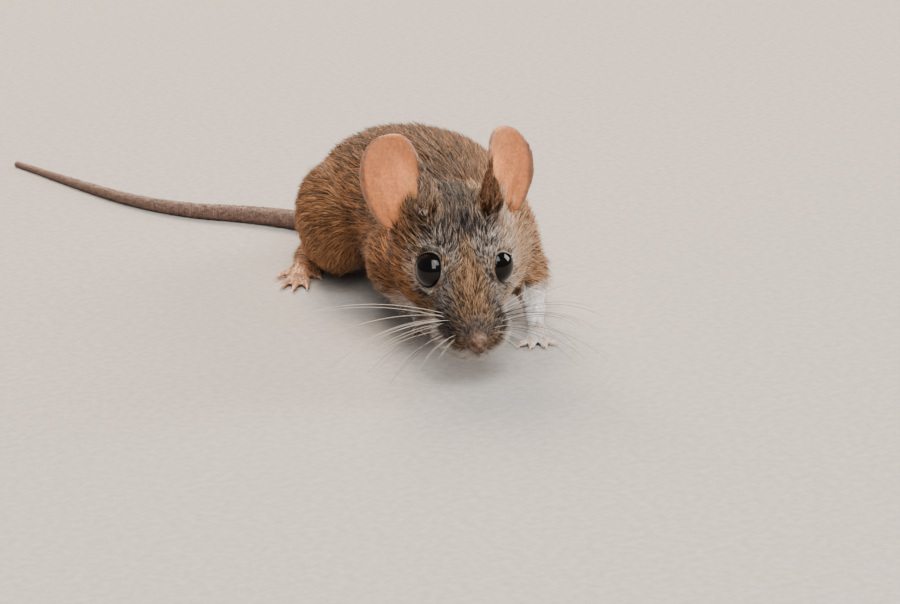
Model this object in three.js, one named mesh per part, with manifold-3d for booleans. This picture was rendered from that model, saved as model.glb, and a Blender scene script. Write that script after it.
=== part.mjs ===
// A live-size wood mouse crouching with its nose near the ground, as a still model.
// Millimetres, +Z up. The trunk lies along Y with the head towards -Y, so the mouse's left is +X.
import * as THREE from "three";
import { mergeVertices } from "three/addons/utils/BufferGeometryUtils.js";
import Module from "manifold-3d";

const wasm = await Module();
wasm.setup();

// ---- Driving dimensions: lengths in millimetres, angles in degrees ---------------------------
const CUT = 0.3; // width of every thin cut between two parts
const EYE_HEIGHT = 15.5; // from the floor to the middle between the eyes
const HEAD = { x: -6.8, y: 0.3, yaw: -13.9, pitch: 18.4, roll: 2 }; // turned to its right, nose down, tilted
const EYE = { radius: 2.8, side: 4.55, back: -0.2, up: 0.7 };
const EAR = {
  length: 15.9, width: 14.0, thick: 0.8, curlAtRoot: 2.9, curlAtTip: 7.2, back: 8.4, up: 1.4, leanBack: 6,
  drawnIn: 0.38, // how far the upper part of its inner edge is drawn in
  left: { side: 5.7, turnOut: 48, leanOut: 10 }, // the left ear is turned the further round of the two
  right: { side: 6.7, turnOut: 36, leanOut: 13 },
  // the furred fold along its inner edge
  fold: { root: [-5.4, -1.8, 4.2], tip: [-4.3, -1.6, 13.2], rootRadius: 1.7, tipRadius: 0.3 },
};
const NOSE_PAD = { beside: 1.45, deep: 1.2, tall: 1.7, front: -12.5, up: -4.1 };
const KNEE = { out: 11.0, y: 47.0, up: 5.6, radius: 3.4, ankleRadius: 1.7 };
const ELBOW = { radius: 3.8, wristRadius: 1.3, wristUp: 2.6, wristBack: 0.8 };
const NECK_CUT = { at: [-3.6, 11.5, 15.0], way: [-0.22, -0.97, 0] }; // where the neck meets the head
const CHEST_CUT = { at: [-1.6, 20.0, 14.0], way: [-0.1, -0.99, 0] }; // where the neck meets the trunk
const HEEL = { out: 8.6, y: 66.7, turnedOut: 30 };
const FOREFOOT = {
  left: { x: 8.2, y: 8.2, turn: -24, elbow: [12.2, 17.0, 8.2] },
  right: { x: -4.6, y: 23.5, turn: -6, elbow: [-8.6, 27.0, 8.8] },
};
const TRUNK_MIDDLE = 2.4; // where the haunches' middle lies beside the frame's Y axis
const TAIL = {
  rootRadius: 2.2, tipRadius: 0.6, sides: 9, steps: 30,
  flat: 0.12, // how much of its round underside lies flat on the floor
  route: [
    [1.6, 62, 7], [1.0, 72, 3], [-1.6, 82, 0], [-8, 92, 0], [-15.6, 101, 0], [-22.4, 114, 0], [-33.2, 153, 0],
  ],
};

// ---- Small helpers ---------------------------------------------------------------------------
const degrees = THREE.MathUtils.degToRad;
const SIDES = { left: 1, right: -1 };

/** The geometry with only its positions left and its shared vertices merged. */
function welded(geometry) {
  geometry.deleteAttribute("normal");
  geometry.deleteAttribute("uv");
  return mergeVertices(geometry, 1e-3);
}

/** Moves each vertex of a welded geometry by what shift(point, normal) gives. */
function moved(geometry, shift) {
  geometry.computeVertexNormals();
  const place = geometry.attributes.position;
  const normal = geometry.attributes.normal;
  const point = new THREE.Vector3();
  const out = new THREE.Vector3();
  for (let i = 0; i < place.count; i++) {
    point.fromBufferAttribute(place, i);
    out.fromBufferAttribute(normal, i);
    place.setXYZ(i, ...point.add(shift(point, out)));
  }
  geometry.deleteAttribute("normal");
  return geometry;
}

/** A copy that stands out by a distance all over, for cutting a neighbour back. */
const inflated = (geometry, by) => moved(geometry.clone(), (point, out) => out.multiplyScalar(by));

/** Raises, or with a negative height sinks, a smooth round mound on a surface. */
function swell(geometry, [x, y, z], reach, height) {
  const centre = new THREE.Vector3(x, y, z);
  return moved(geometry, (point, out) =>
    out.multiplyScalar(height * Math.exp(-point.distanceToSquared(centre) / reach ** 2)));
}

/** A cross-section of a body: where along it, the centre, and the sizes beside, above and below it. */
const section = (at, x, y, z, beside, above, below) => ({ at, values: [x, y, z, beside, above, below] });

/** A closed body through cross-sections: the rings of a sphere, each moved and sized to its section. */
function bodyThrough(sections, { around, along, frontCap = 0.08, backCap = 0.08, squareness = 1 }) {
  const ats = sections.map((s) => s.at);
  const smooth = new THREE.CubicInterpolant(ats, sections.flatMap((s) => s.values), 6);
  const sample = (t) => Array.from(smooth.evaluate(THREE.MathUtils.clamp(t, 0, 1)));
  const rounded = (t, cap) => (t < cap ? Math.sqrt(Math.max(0, 1 - ((cap - t) / cap) ** 2)) : 1);
  const ball = welded(new THREE.SphereGeometry(1, around, along).rotateX(-Math.PI / 2));
  const place = ball.attributes.position;
  for (let i = 0; i < place.count; i++) {
    const angle = Math.atan2(place.getY(i), place.getX(i));
    const ring = Math.hypot(place.getX(i), place.getY(i));
    const t = (1 + place.getZ(i)) / 2;
    const [x, y, z, beside, above, below] = sample(t);
    const ahead = new THREE.Vector3(...sample(t + 0.01)).sub(new THREE.Vector3(...sample(t - 0.01)));
    const side = new THREE.Vector3().crossVectors(ahead, new THREE.Vector3(0, 0, 1)).normalize().negate();
    const up = new THREE.Vector3().crossVectors(ahead, side).normalize();
    const blunt = ring < 1e-6 ? 0 : rounded(t, frontCap) * rounded(1 - t, backCap);
    const power = (v) => Math.sign(v) * Math.abs(v) ** squareness;
    const across = power(Math.cos(angle)) * beside * blunt;
    const upward = power(Math.sin(angle)) * (Math.sin(angle) > 0 ? above : below) * blunt;
    place.setXYZ(i, x + side.x * across + up.x * upward, y + side.y * across + up.y * upward,
      z + side.z * across + up.z * upward);
  }
  return ball;
}

/** A rounded limb between two points with a radius at each end. */
function limb(from, to, fromRadius, toRadius, around, along) {
  const bone = new THREE.Vector3().subVectors(to, from);
  const whole = bone.length() + fromRadius + toRadius;
  const profile = [];
  for (let i = 0; i <= along; i++) {
    const t = (1 - Math.cos((Math.PI * i) / along)) / 2;
    const radius = THREE.MathUtils.lerp(fromRadius, toRadius, t);
    const cap = Math.min(1, (t * whole) / fromRadius, ((1 - t) * whole) / toRadius);
    const edge = i === 0 || i === along ? 0 : radius * Math.sqrt(1 - (1 - cap) ** 2);
    profile.push(new THREE.Vector2(edge, t * whole - fromRadius));
  }
  const turn = new THREE.Quaternion().setFromUnitVectors(new THREE.Vector3(0, 1, 0), bone.normalize());
  const made = welded(new THREE.LatheGeometry(profile, around));
  return made.applyQuaternion(turn).translate(from.x, from.y, from.z);
}

/** A manifold solid of a closed geometry, and back. */
const solid = (geometry) => new wasm.Manifold(new wasm.Mesh({
  numProp: 3,
  vertProperties: new Float32Array(geometry.attributes.position.array),
  triVerts: new Uint32Array(geometry.index.array),
}));

function geometryOf(body) {
  const mesh = body.getMesh();
  const made = new THREE.BufferGeometry();
  made.setAttribute("position", new THREE.BufferAttribute(new Float32Array(mesh.vertProperties), 3));
  made.setIndex(new THREE.BufferAttribute(new Uint32Array(mesh.triVerts), 1));
  return made;
}

/** The largest piece of a solid, which drops the slivers that a cut can leave. */
const largest = (body) => body.decompose().sort((a, b) => b.volume() - a.volume())[0];

const joined = (...geometries) => geometryOf(geometries.map(solid).reduce((a, b) => a.add(b)));

/** A geometry less its neighbours, each standing out by the thin cut. */
const cutBack = (geometry, ...neighbours) => geometryOf(largest(
  neighbours.reduce((body, n) => body.subtract(solid(inflated(n, CUT))), solid(geometry))));

/** The part of a geometry on the side of a plane that its normal points to. */
function beyond(geometry, point, normal, offset = 0) {
  const reach = 400;
  const block = welded(new THREE.BoxGeometry(reach, reach, reach));
  const turn = new THREE.Quaternion().setFromUnitVectors(new THREE.Vector3(0, 0, 1), normal);
  const middle = normal.clone().multiplyScalar(reach / 2 + offset).add(point);
  block.applyQuaternion(turn).translate(...middle);
  return geometryOf(largest(solid(geometry).intersect(solid(block))));
}

const FLOOR = new THREE.Vector3(0, 0, 0);
const UP = new THREE.Vector3(0, 0, 1);
/** Cuts off what reaches below the floor, which leaves the small flats that the mouse rests on. */
const flatSoled = (geometry) => beyond(geometry, FLOOR, UP);

const mouse = new THREE.Group();
const skull = new THREE.Group(); // the head's own frame: nose towards -Y, origin between the eyes
skull.position.set(HEAD.x, HEAD.y, EYE_HEIGHT);
skull.rotation.set(degrees(HEAD.pitch), degrees(HEAD.roll), degrees(HEAD.yaw), "ZXY");
mouse.add(skull);
mouse.updateMatrixWorld(true);

const FUR = new THREE.MeshStandardMaterial({ color: 0x8a5a36, roughness: 0.85, metalness: 0 });
const BACK_FUR = new THREE.MeshStandardMaterial({ color: 0x6e4528, roughness: 0.85, metalness: 0 });
const PALE_FUR = new THREE.MeshStandardMaterial({ color: 0xd9cdc2, roughness: 0.85, metalness: 0 });
const EAR_SKIN = new THREE.MeshStandardMaterial({ color: 0xc98a66, roughness: 0.6, metalness: 0 });
const NOSE_SKIN = new THREE.MeshStandardMaterial({ color: 0xa5705f, roughness: 0.5, metalness: 0 });
const EYE_BLACK = new THREE.MeshStandardMaterial({ color: 0x0c0a09, roughness: 0.08, metalness: 0 });
const FOOT_SKIN = new THREE.MeshStandardMaterial({ color: 0xd6a692, roughness: 0.6, metalness: 0 });
const TAIL_SKIN = new THREE.MeshStandardMaterial({ color: 0x7d5a49, roughness: 0.7, metalness: 0 });

function addPart(name, geometry, material, parent = mouse) {
  const mesh = new THREE.Mesh(geometry, material);
  mesh.name = name;
  parent.add(mesh);
}

// ---- Head --------------------------------------------------------------------------------------
/** The head out to the tips of its fur, in the head's own frame. */
function headShape() {
  const shape = bodyThrough([
    section(0.0, 0, -12.3, -4.0, 2.4, 1.6, 1.9),
    section(0.07, 0, -10.6, -4.3, 3.5, 2.5, 3.3),
    section(0.17, 0, -8.2, -4.5, 4.9, 3.8, 4.3),
    section(0.3, 0, -4.6, -4.0, 5.6, 5.4, 5.8),
    section(0.46, 0, 0.0, -2.8, 7.3, 7.1, 7.9),
    section(0.62, 0, 5.0, -1.8, 9.2, 8.3, 9.5),
    section(0.8, 0, 10.0, -1.4, 9.9, 8.6, 9.6),
    section(1.0, 0, 16.0, -1.6, 8.4, 7.8, 8.4),
  ], { around: 22, along: 20, frontCap: 0.07, backCap: 0.12, squareness: 0.93 });
  for (const side of [1, -1]) {
    swell(shape, [4.6 * side, -8.0, -5.6], 2.6, 0.8); // whisker pad
    swell(shape, [8.6 * side, 3.5, -5.0], 4.2, 0.9); // cheek
    swell(shape, [5.0 * side, -2.4, -0.2], 3.0, -1.5); // hollow that the eye stands in
    swell(shape, [4.2 * side, 1.4, 3.8], 2.6, 0.4); // brow
    swell(shape, [4.4 * side, 6.6, 6.6], 2.6, 1.5); // fur before the ear's root
  }
  swell(shape, [0, -7.8, -9.4], 2.2, 0.7); // chin
  swell(shape, [0, 8.0, 8.0], 5.0, 0.5); // crown
  return shape;
}

const eyeBall = (side) => welded(new THREE.SphereGeometry(EYE.radius, 14, 9))
  .translate(EYE.side * side, EYE.back, EYE.up);

/** The bare pad at the tip of the nose. */
function nosePad() {
  return welded(new THREE.SphereGeometry(1, 12, 8))
    .scale(NOSE_PAD.beside, NOSE_PAD.deep, NOSE_PAD.tall)
    .translate(0, NOSE_PAD.front, NOSE_PAD.up);
}

/** One ear: a thin oval shell, curled most near its root, in its own frame with its mouth towards -Y. */
function earShell(side) {
  const leaf = welded(new THREE.SphereGeometry(1, 18, 12).rotateX(Math.PI / 2));
  const place = leaf.attributes.position;
  for (let i = 0; i < place.count; i++) {
    const [x, y, z] = [place.getX(i), place.getY(i), place.getZ(i)];
    const chord = Math.max(Math.hypot(x, y), 1e-6);
    const up = (z + 1) / 2;
    const inner = THREE.MathUtils.smoothstep(-x * side, 0, 0.5 * chord);
    const drawnIn = EAR.drawnIn * inner * Math.max(z + 0.2, 0);
    const half = (EAR.width / 2) * chord ** 0.8 * (0.93 + 0.09 * z) * (1 - drawnIn);
    const curl = THREE.MathUtils.lerp(EAR.curlAtRoot, EAR.curlAtTip, up);
    const angle = ((x / chord) * half) / curl;
    const skin = curl + (y / chord) * (EAR.thick / 2);
    place.setXYZ(i, skin * Math.sin(angle), skin * Math.cos(angle) - curl, up * EAR.length);
  }
  return leaf;
}

/** The furred fold that runs up an ear's inner edge from the crown, in the ear's own frame. */
function earFold(side) {
  const { root, tip, rootRadius, tipRadius } = EAR.fold;
  const [from, to] = [root, tip].map(([x, y, z]) => new THREE.Vector3(x * side, y, z));
  return limb(from, to, rootRadius, tipRadius, 9, 8);
}

/** Places one ear on the head: turned outwards, leaning outwards and a little back. */
function ear(name, side) {
  const { side: out, turnOut, leanOut } = EAR[name];
  const [leanBack, lean, outward] = [-EAR.leanBack, leanOut * side, turnOut * side].map(degrees);
  const turn = new THREE.Euler(leanBack, lean, outward, "ZYX");
  return joined(earShell(side), earFold(side)).applyMatrix4(new THREE.Matrix4().makeRotationFromEuler(turn))
    .translate(out * side, EAR.back, EAR.up);
}

// ---- Neck and trunk ------------------------------------------------------------------------------
/** The neck and trunk out to the tips of their fur. */
function torsoShape() {
  const shape = bodyThrough([
    section(0.0, -5.0, 6.0, 14.6, 8.4, 7.2, 7.6),
    section(0.1, -3.0, 12.0, 14.4, 10.8, 9.2, 9.8),
    section(0.22, 0.0, 19.0, 14.4, 12.0, 12.4, 11.0),
    section(0.42, 2.6, 32.0, 14.4, 12.9, 13.1, 11.4),
    section(0.62, 3.4, 45.0, 13.8, 12.4, 12.2, 11.1),
    section(0.8, 3.2, 56.5, 12.7, 11.2, 10.4, 10.4),
    section(0.93, 2.5, 65.5, 11.0, 8.6, 8.2, 8.5),
    section(1.0, 2.0, 71.0, 9.4, 6.4, 6.4, 7.0),
  ], { around: 22, along: 17, frontCap: 0.05, backCap: 0.14 });
  swell(shape, [11.6, 17.0, 10.5], 6.5, 2.6); // left shoulder
  swell(shape, [-12.4, 19.0, 11.5], 7.0, 3.4); // right shoulder
  return shape;
}

// ---- Legs and feet -------------------------------------------------------------------------------
/** The haunch: the thigh and knee under the fur, seen as one bulge on the flank. */
function haunch(side) {
  return bodyThrough([
    section(0.0, 10.6 * side, 40.0, 7.6, 3.6, 4.0, 4.4),
    section(0.3, 11.0 * side, 46.5, 9.2, 5.0, 7.2, 6.8),
    section(0.65, 9.2 * side, 55.5, 10.0, 5.6, 9.0, 8.4),
    section(1.0, 6.4 * side, 66.5, 8.4, 4.6, 6.6, 7.2),
  ], { around: 13, along: 9, frontCap: 0.3, backCap: 0.3 }).translate(TRUNK_MIDDLE, 0, 0);
}

/** One toe: a tapered limb from the foot to the floor, with its claw's root at the tip. */
const toe = (from, length, angle, radius, drop) => limb(
  from,
  from.clone().add(new THREE.Vector3(length * Math.sin(angle), -length * Math.cos(angle), -drop)),
  radius, radius * 0.72, 6, 5);

/** The long hind foot, in its own frame: heel at the origin and toes towards -Y. */
function hindFoot(side) {
  const sole = bodyThrough([
    section(0.0, 0, 1.2, 1.7, 1.5, 1.5, 1.9),
    section(0.3, 0, -3.6, 1.5, 1.5, 1.5, 1.8),
    section(0.7, 0, -9.6, 1.1, 1.9, 1.2, 1.4),
    section(1.0, 0, -14.4, 0.9, 2.2, 0.9, 1.15),
  ], { around: 10, along: 8, frontCap: 0.12, backCap: 0.14 });
  const toes = [
    { out: -1.7, back: -10.2, length: 3.2, splay: -30 },
    { out: -1.1, back: -13.2, length: 5.0, splay: -11 },
    { out: 0.0, back: -13.6, length: 5.6, splay: 0 },
    { out: 1.1, back: -13.0, length: 5.0, splay: 12 },
    { out: 1.8, back: -9.6, length: 3.4, splay: 34 },
  ].map(({ out, back, length, splay }) => toe(
    new THREE.Vector3(out * side, back, 0.75), length, degrees(splay) * side, 0.66, 0.2));
  return joined(sole, ...toes);
}

/** A forefoot, in its own frame: wrist over the origin and toes towards -Y. */
function forefoot(side) {
  const palm = bodyThrough([
    section(0.0, 0, 1.0, 2.3, 1.0, 0.9, 1.2),
    section(0.4, 0, -0.6, 1.5, 1.3, 1.0, 1.65),
    section(1.0, 0, -3.2, 0.9, 1.7, 0.8, 1.1),
  ], { around: 10, along: 7, frontCap: 0.2, backCap: 0.2 });
  const toes = [
    { out: -1.2, length: 2.6, splay: -34 },
    { out: -0.5, length: 3.4, splay: -11 },
    { out: 0.5, length: 3.4, splay: 10 },
    { out: 1.2, length: 2.7, splay: 32 },
  ].map(({ out, length, splay }) => toe(
    new THREE.Vector3(out * side, -2.5, 0.75), length, degrees(splay) * side, 0.5, 0.22));
  return joined(palm, ...toes);
}

// ---- Tail ----------------------------------------------------------------------------------------
/** A tapered tube lying along the floor from the rump. */
function tailShape() {
  const stops = TAIL.route.map((stop) => new THREE.Vector3(...stop));
  const route = new THREE.CatmullRomCurve3(stops, false, "centripetal");
  const tube = welded(new THREE.CylinderGeometry(1, 1, 1, TAIL.sides, TAIL.steps));
  const place = tube.attributes.position;
  for (let i = 0; i < place.count; i++) {
    const t = place.getY(i) + 0.5;
    const radius = THREE.MathUtils.lerp(TAIL.rootRadius, TAIL.tipRadius, t ** 0.8);
    const middle = route.getPointAt(t);
    const ahead = route.getTangentAt(t);
    const side = new THREE.Vector3().crossVectors(ahead, UP).normalize();
    const up = new THREE.Vector3().crossVectors(side, ahead);
    middle.z = Math.max(middle.z, 0) + radius - TAIL.flat;
    middle.addScaledVector(side, place.getX(i) * radius).addScaledVector(up, place.getZ(i) * radius);
    place.setXYZ(i, ...middle);
  }
  return { tube, route };
}

// ---- Assembly ------------------------------------------------------------------------------------
const inBody = (geometry) => geometry.clone().applyMatrix4(skull.matrixWorld);
const inSkull = (geometry) => geometry.clone().applyMatrix4(skull.matrixWorld.clone().invert());

const headOnly = headShape();
const torso = torsoShape();
const whole = joined(inBody(headOnly), torso);

const legs = {};
for (const [name, side] of Object.entries(SIDES)) {
  const hip = haunch(side);
  const heel = new THREE.Vector3(HEEL.out * side + TRUNK_MIDDLE, HEEL.y, 2.0);
  const knee = new THREE.Vector3(KNEE.out * side + TRUNK_MIDDLE, KNEE.y, KNEE.up);
  const shank = limb(knee, heel, KNEE.radius, KNEE.ankleRadius, 10, 7);
  const foot = hindFoot(side).rotateZ(degrees(HEEL.turnedOut) * side).translate(heel.x, heel.y, 0);
  const wrist = new THREE.Vector3(FOREFOOT[name].x, FOREFOOT[name].y, 0);
  const paw = forefoot(side).rotateZ(degrees(FOREFOOT[name].turn)).translate(...wrist);
  const elbow = new THREE.Vector3(...FOREFOOT[name].elbow);
  const armEnd = new THREE.Vector3(wrist.x, wrist.y + ELBOW.wristBack, ELBOW.wristUp);
  const arm = limb(elbow, armEnd, ELBOW.radius, ELBOW.wristRadius, 12, 8);
  legs[name] = { haunch: joined(hip, shank), foot: flatSoled(foot), arm, paw: flatSoled(paw) };
}

const neckPlane = new THREE.Vector3(...NECK_CUT.at);
const neckWay = new THREE.Vector3(...NECK_CUT.way).normalize();
const chestPlane = new THREE.Vector3(...CHEST_CUT.at);
const chestWay = new THREE.Vector3(...CHEST_CUT.way).normalize();
const back = (v) => v.clone().negate();

const earsInSkull = Object.fromEntries(Object.entries(SIDES).map(([name, side]) => [name, ear(name, side)]));
const eyes = Object.fromEntries(Object.entries(SIDES).map(([name, side]) => [name, eyeBall(side)]));
const pad = nosePad();

const headPart = cutBack(
  beyond(whole, neckPlane, neckWay, CUT / 2),
  inBody(eyes.left), inBody(eyes.right), inBody(pad));
const armsAndLegs = ["left", "right"].flatMap((name) => [legs[name].haunch, legs[name].arm, legs[name].foot]);
const { tube, route } = tailShape();
const trunkPart = cutBack(beyond(whole, chestPlane, back(chestWay), CUT / 2), ...armsAndLegs);
const neckPart = cutBack(
  beyond(beyond(whole, neckPlane, back(neckWay), CUT / 2), chestPlane, chestWay, CUT / 2),
  legs.left.arm, legs.right.arm);

addPart("head", headPart, FUR);
addPart("neck", neckPart, FUR);
addPart("trunk", trunkPart, BACK_FUR);
addPart("nose", pad, NOSE_SKIN, skull);
for (const name of Object.keys(SIDES)) {
  const leg = legs[name];
  addPart(`eye_${name}`, eyes[name], EYE_BLACK, skull);
  addPart(`ear_${name}`, cutBack(earsInSkull[name], headOnly), EAR_SKIN, skull);
  addPart(`foreleg_${name}`, cutBack(leg.arm, leg.paw), PALE_FUR);
  addPart(`forefoot_${name}`, leg.paw, FOOT_SKIN);
  addPart(`hind_leg_${name}`, flatSoled(cutBack(leg.haunch, leg.foot)), FUR);
  addPart(`hind_foot_${name}`, leg.foot, FOOT_SKIN);
}

// The tail is laid in three lengths, cut where its route has run a third and two thirds.
const cuts = [1 / 3, 2 / 3].map((t) => ({ point: route.getPointAt(t), way: route.getTangentAt(t) }));
const tail = cutBack(flatSoled(tube), torso);
addPart("tail_root", beyond(tail, cuts[0].point, back(cuts[0].way), CUT / 2), TAIL_SKIN);
addPart("tail_middle", beyond(beyond(tail, cuts[0].point, cuts[0].way, CUT / 2),
  cuts[1].point, back(cuts[1].way), CUT / 2), TAIL_SKIN);
addPart("tail_tip", beyond(tail, cuts[1].point, cuts[1].way, CUT / 2), TAIL_SKIN);

// The frame's origin is on the floor, below the middle of the box around the whole mouse.
const middle = new THREE.Box3().setFromObject(mouse).getCenter(new THREE.Vector3());
for (const child of mouse.children) {
  child.position.x -= middle.x;
  child.position.y -= middle.y;
}

export default mouse;
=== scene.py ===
"""A wood mouse, life size and still, crouching with its nose near the floor.

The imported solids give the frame. One skin replaces the solids of flesh and lies inside them by the
depth of the coat, and the coat stands on that skin as solid tufts that follow the lie of the fur.
Points are (count, 3) arrays in millimetres in the shared frame, until a mesh is written in metres.
"""
import math
from contextlib import contextmanager

import bmesh
import bpy
import numpy as np
from mathutils import Euler, Matrix, Vector
from mathutils.bvhtree import BVHTree


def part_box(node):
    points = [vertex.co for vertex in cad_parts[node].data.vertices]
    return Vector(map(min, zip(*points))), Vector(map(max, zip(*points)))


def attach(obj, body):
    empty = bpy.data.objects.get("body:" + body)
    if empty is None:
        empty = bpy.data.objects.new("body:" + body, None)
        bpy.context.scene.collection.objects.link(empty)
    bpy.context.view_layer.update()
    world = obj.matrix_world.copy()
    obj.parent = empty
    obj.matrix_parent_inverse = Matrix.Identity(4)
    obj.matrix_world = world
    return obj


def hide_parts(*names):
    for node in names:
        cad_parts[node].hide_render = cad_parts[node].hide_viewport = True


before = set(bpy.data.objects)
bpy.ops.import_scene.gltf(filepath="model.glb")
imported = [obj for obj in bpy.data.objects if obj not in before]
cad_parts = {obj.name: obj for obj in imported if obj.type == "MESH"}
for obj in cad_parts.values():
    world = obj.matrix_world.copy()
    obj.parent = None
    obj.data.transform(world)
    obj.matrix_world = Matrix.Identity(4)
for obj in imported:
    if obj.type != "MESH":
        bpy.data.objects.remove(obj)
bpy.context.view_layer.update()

# ---- Driving values: millimetres and degrees -----------------------------------------------------
MM = 0.001
SIDES = {"left": 1, "right": -1}  # the mouse's own left is towards +X
HEAD_YAW, HEAD_PITCH, HEAD_ROLL = -13.9, 18.4, 2.0
HEAD_ORIGIN = (-6.8, 0.3, 15.5)  # in the body's own numbers, whose Y axis runs back along the floor
EYE_SIDE, EYE_BACK, EYE_UP, EYE_RADIUS = 4.55, -0.2, 0.7, 2.8
EYE_AXES = {1: (0.79, -0.58, 0.17), -1: (-0.80, -0.50, 0.33)}  # the way that each eye's opening faces
EYE_DROOP = {1: 26.0, -1: 2.0}  # how much lower each eye's upper outer lid hangs, in degrees
EYE_CORNER = (-0.55, 0.1, 0.8)  # the way from the left eye's middle to its upper inner corner
EYE_OPENING = 64.0  # half of the angle that the lids leave open
EYE_COVER = 0.08  # how much smaller than the eyeball the flesh below it is
LID_RADIUS, LID_LIFT = 0.09, 0.04
NOSE_TIP = (0.0, -13.2, -3.9)
EAR_LENGTH, EAR_WIDTH, EAR_THICK, EAR_DRAWN_IN = 15.9, 14.0, 0.62, 0.38
EAR_CURL_ROOT, EAR_CURL_TIP = 2.9, 7.2
EAR_BACK, EAR_UP, EAR_LEAN_BACK = 8.4, 1.4, 6.0
EARS = {"left": (5.7, 48.0, 10.0), "right": (6.7, 36.0, 13.0)}  # how far out, turned and leant
SPINE_Y = (6.0, 12.0, 19.0, 32.0, 45.0, 56.5, 65.5, 71.0)
SPINE_X = (-5.0, -3.0, 0.0, 2.6, 3.4, 3.2, 2.5, 2.0)
BODY_MIDDLE_HEIGHT = 13.6
TAIL_ROUTE = ((1.6, 62, 7), (1.0, 72, 3), (-1.6, 82, 0), (-8, 92, 0), (-15.6, 101, 0), (-22.4, 114, 0),
              (-33.2, 153, 0))
TAIL_ROOT_RADIUS, TAIL_TIP_RADIUS, TAIL_FLAT = 2.2, 0.6, 0.12
TAIL_SCALE_RUN = 0.42  # the length of one ring of scales
FEET = {  # each foot's place on the floor and how far it is turned
    "forefoot_left": (8.2, 8.2, -24.0), "forefoot_right": (-4.6, 23.5, -6.0),
    "hind_foot_left": (11.0, 66.7, 30.0), "hind_foot_right": (-6.2, 66.7, -30.0),
}
TOES = {  # each toe's root beside and behind the foot's own middle, its length and its splay
    "forefoot": ((-1.2, -2.5, 2.6, -34), (-0.5, -2.5, 3.4, -11), (0.5, -2.5, 3.4, 10),
                 (1.2, -2.5, 2.7, 32)),
    "hind_foot": ((-1.7, -10.2, 3.2, -30), (-1.1, -13.2, 5.0, -11), (0.0, -13.6, 5.6, 0),
                  (1.1, -13.0, 5.0, 12), (1.8, -9.6, 3.4, 34)),
}
TOE_TIP_UP = 0.55
CLAWS = {"forefoot": (0.9, 0.17), "hind_foot": (1.2, 0.2)}  # length and radius
SKIN_VOXEL = 0.34
BROAD_FACES_KEPT = 0.62  # the share of faces that the broad forms keep
FOLD_ROOT, FOLD_TIP = (-5.3, -1.8, 4.2), (-4.3, -1.6, 13.2)  # the furred fold up an ear's inner edge
FOLD_ROOT_RADIUS, FOLD_TIP_RADIUS = 1.2, 0.12
REGIONS = {  # how far the form stands out, the coat's depth, tufts on a mm2, a tuft's length, width and stand
    "head": (0.36, 1.0, 24, 3.0, 0.15, 1.1),
    "neck": (0.36, 1.7, 20, 4.8, 0.18, 1.9),
    "trunk": (0.36, 2.0, 18, 5.8, 0.2, 2.35),
    "nose": (0.12, 0.0, 90, 0.4, 0.045, 0.1),
    "ear": (0.0, 0.0, 8, 0.6, 0.035, 0.22),
    "fold": (0.0, 0.0, 40, 2.4, 0.13, 0.5),
    "foreleg": (0.42, 0.5, 34, 2.0, 0.12, 0.55),
    "forefoot": (0.2, 0.1, 60, 1.15, 0.08, 0.34),
    "hind_leg": (0.42, 1.5, 18, 4.6, 0.19, 1.8),
    "hind_foot": (0.2, 0.1, 22, 1.0, 0.09, 0.2),
    "tail": (0.0, 0.05, 9, 0.9, 0.05, 0.2),
    "eye": (0.0, 0.0, 0, 0.5, 0.05, 0.1),
}
REGION_AT = {name: i for i, name in enumerate(REGIONS)}
SWELL, DEPTH, DENSITY, LENGTH, WIDTH, STAND = np.array(list(REGIONS.values())).T.copy()
SMALL_FORMS = ("ear", "fold", "forefoot", "hind_foot", "nose", "tail", "eye")
BARE_SKIN = (  # each region's colour and how fully it shows
    ("tail", "72574b", 0.95), ("nose", "80624f", 1.0), ("forefoot", "eaaa86", 0.95),
    ("hind_foot", "d89a72", 0.95), ("eye", "1a1412", 1.0),
)
CREST = (  # where the coat stands up behind the crown and by the ears: place, reach and strength
    ((0, 12.0, 7.0), (3.2, 2.6, 3.0), 1.0), ((0, 13.5, 5.5), (5.0, 2.6, 3.0), 0.7),
    ((3.3, 10.5, 7.2), (1.2, 2.0, 2.2), 1.0), ((-3.3, 10.5, 7.2), (1.2, 2.0, 2.2), 1.0),
)
WHISKER_ROWS, WHISKERS_IN_ROW, WHISKER_TIP_RADIUS = 5, 5, 0.012
WHISKER_RISE = {1: 30, -1: 13}  # how steeply the top row of each side rises
PAINT_RANGE = (0.002, 0.95)  # the darkest and lightest linear colours that are painted
PATCH_RADII = (0.0015, 0.0008)  # how far a tuft's two rings lie from its root's place on the unwrap
FLESH = [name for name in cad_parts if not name.startswith("eye_")]
THIN_COAT = 1.0  # the share of the tufts that a run grows
chance = np.random.default_rng(11)


# ---- The head's frame and the body's numbers -----------------------------------------------------
def box_middle(node):
    low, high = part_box(node)
    return (low + high) / (2 * MM)


head_turn = (Matrix.Rotation(math.radians(HEAD_YAW), 3, "Z")
             @ Matrix.Rotation(math.radians(HEAD_PITCH), 3, "X")
             @ Matrix.Rotation(math.radians(HEAD_ROLL), 3, "Y"))
eyes_middle = (box_middle("eye_left") + box_middle("eye_right")) / 2
head_place = eyes_middle - head_turn @ Vector((0, EYE_BACK, EYE_UP))
body_shift = np.array(head_place - Vector(HEAD_ORIGIN))
HEAD_TURN = np.array(head_turn)
HEAD_PLACE = np.array(head_place)


def in_head(points):
    """Points in the head's own frame: nose towards -Y, the mouse's left towards +X."""
    return (np.asarray(points, float) - HEAD_PLACE) @ HEAD_TURN


def from_head(points):
    return np.asarray(points, float) @ HEAD_TURN.T + HEAD_PLACE


def way_from_head(ways):
    return np.asarray(ways, float) @ HEAD_TURN.T


def in_body(points):
    """Points in the body's own numbers."""
    return np.asarray(points, float) - body_shift


def unit(ways):
    return ways / np.maximum(np.linalg.norm(ways, axis=-1, keepdims=True), 1e-9)


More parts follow.
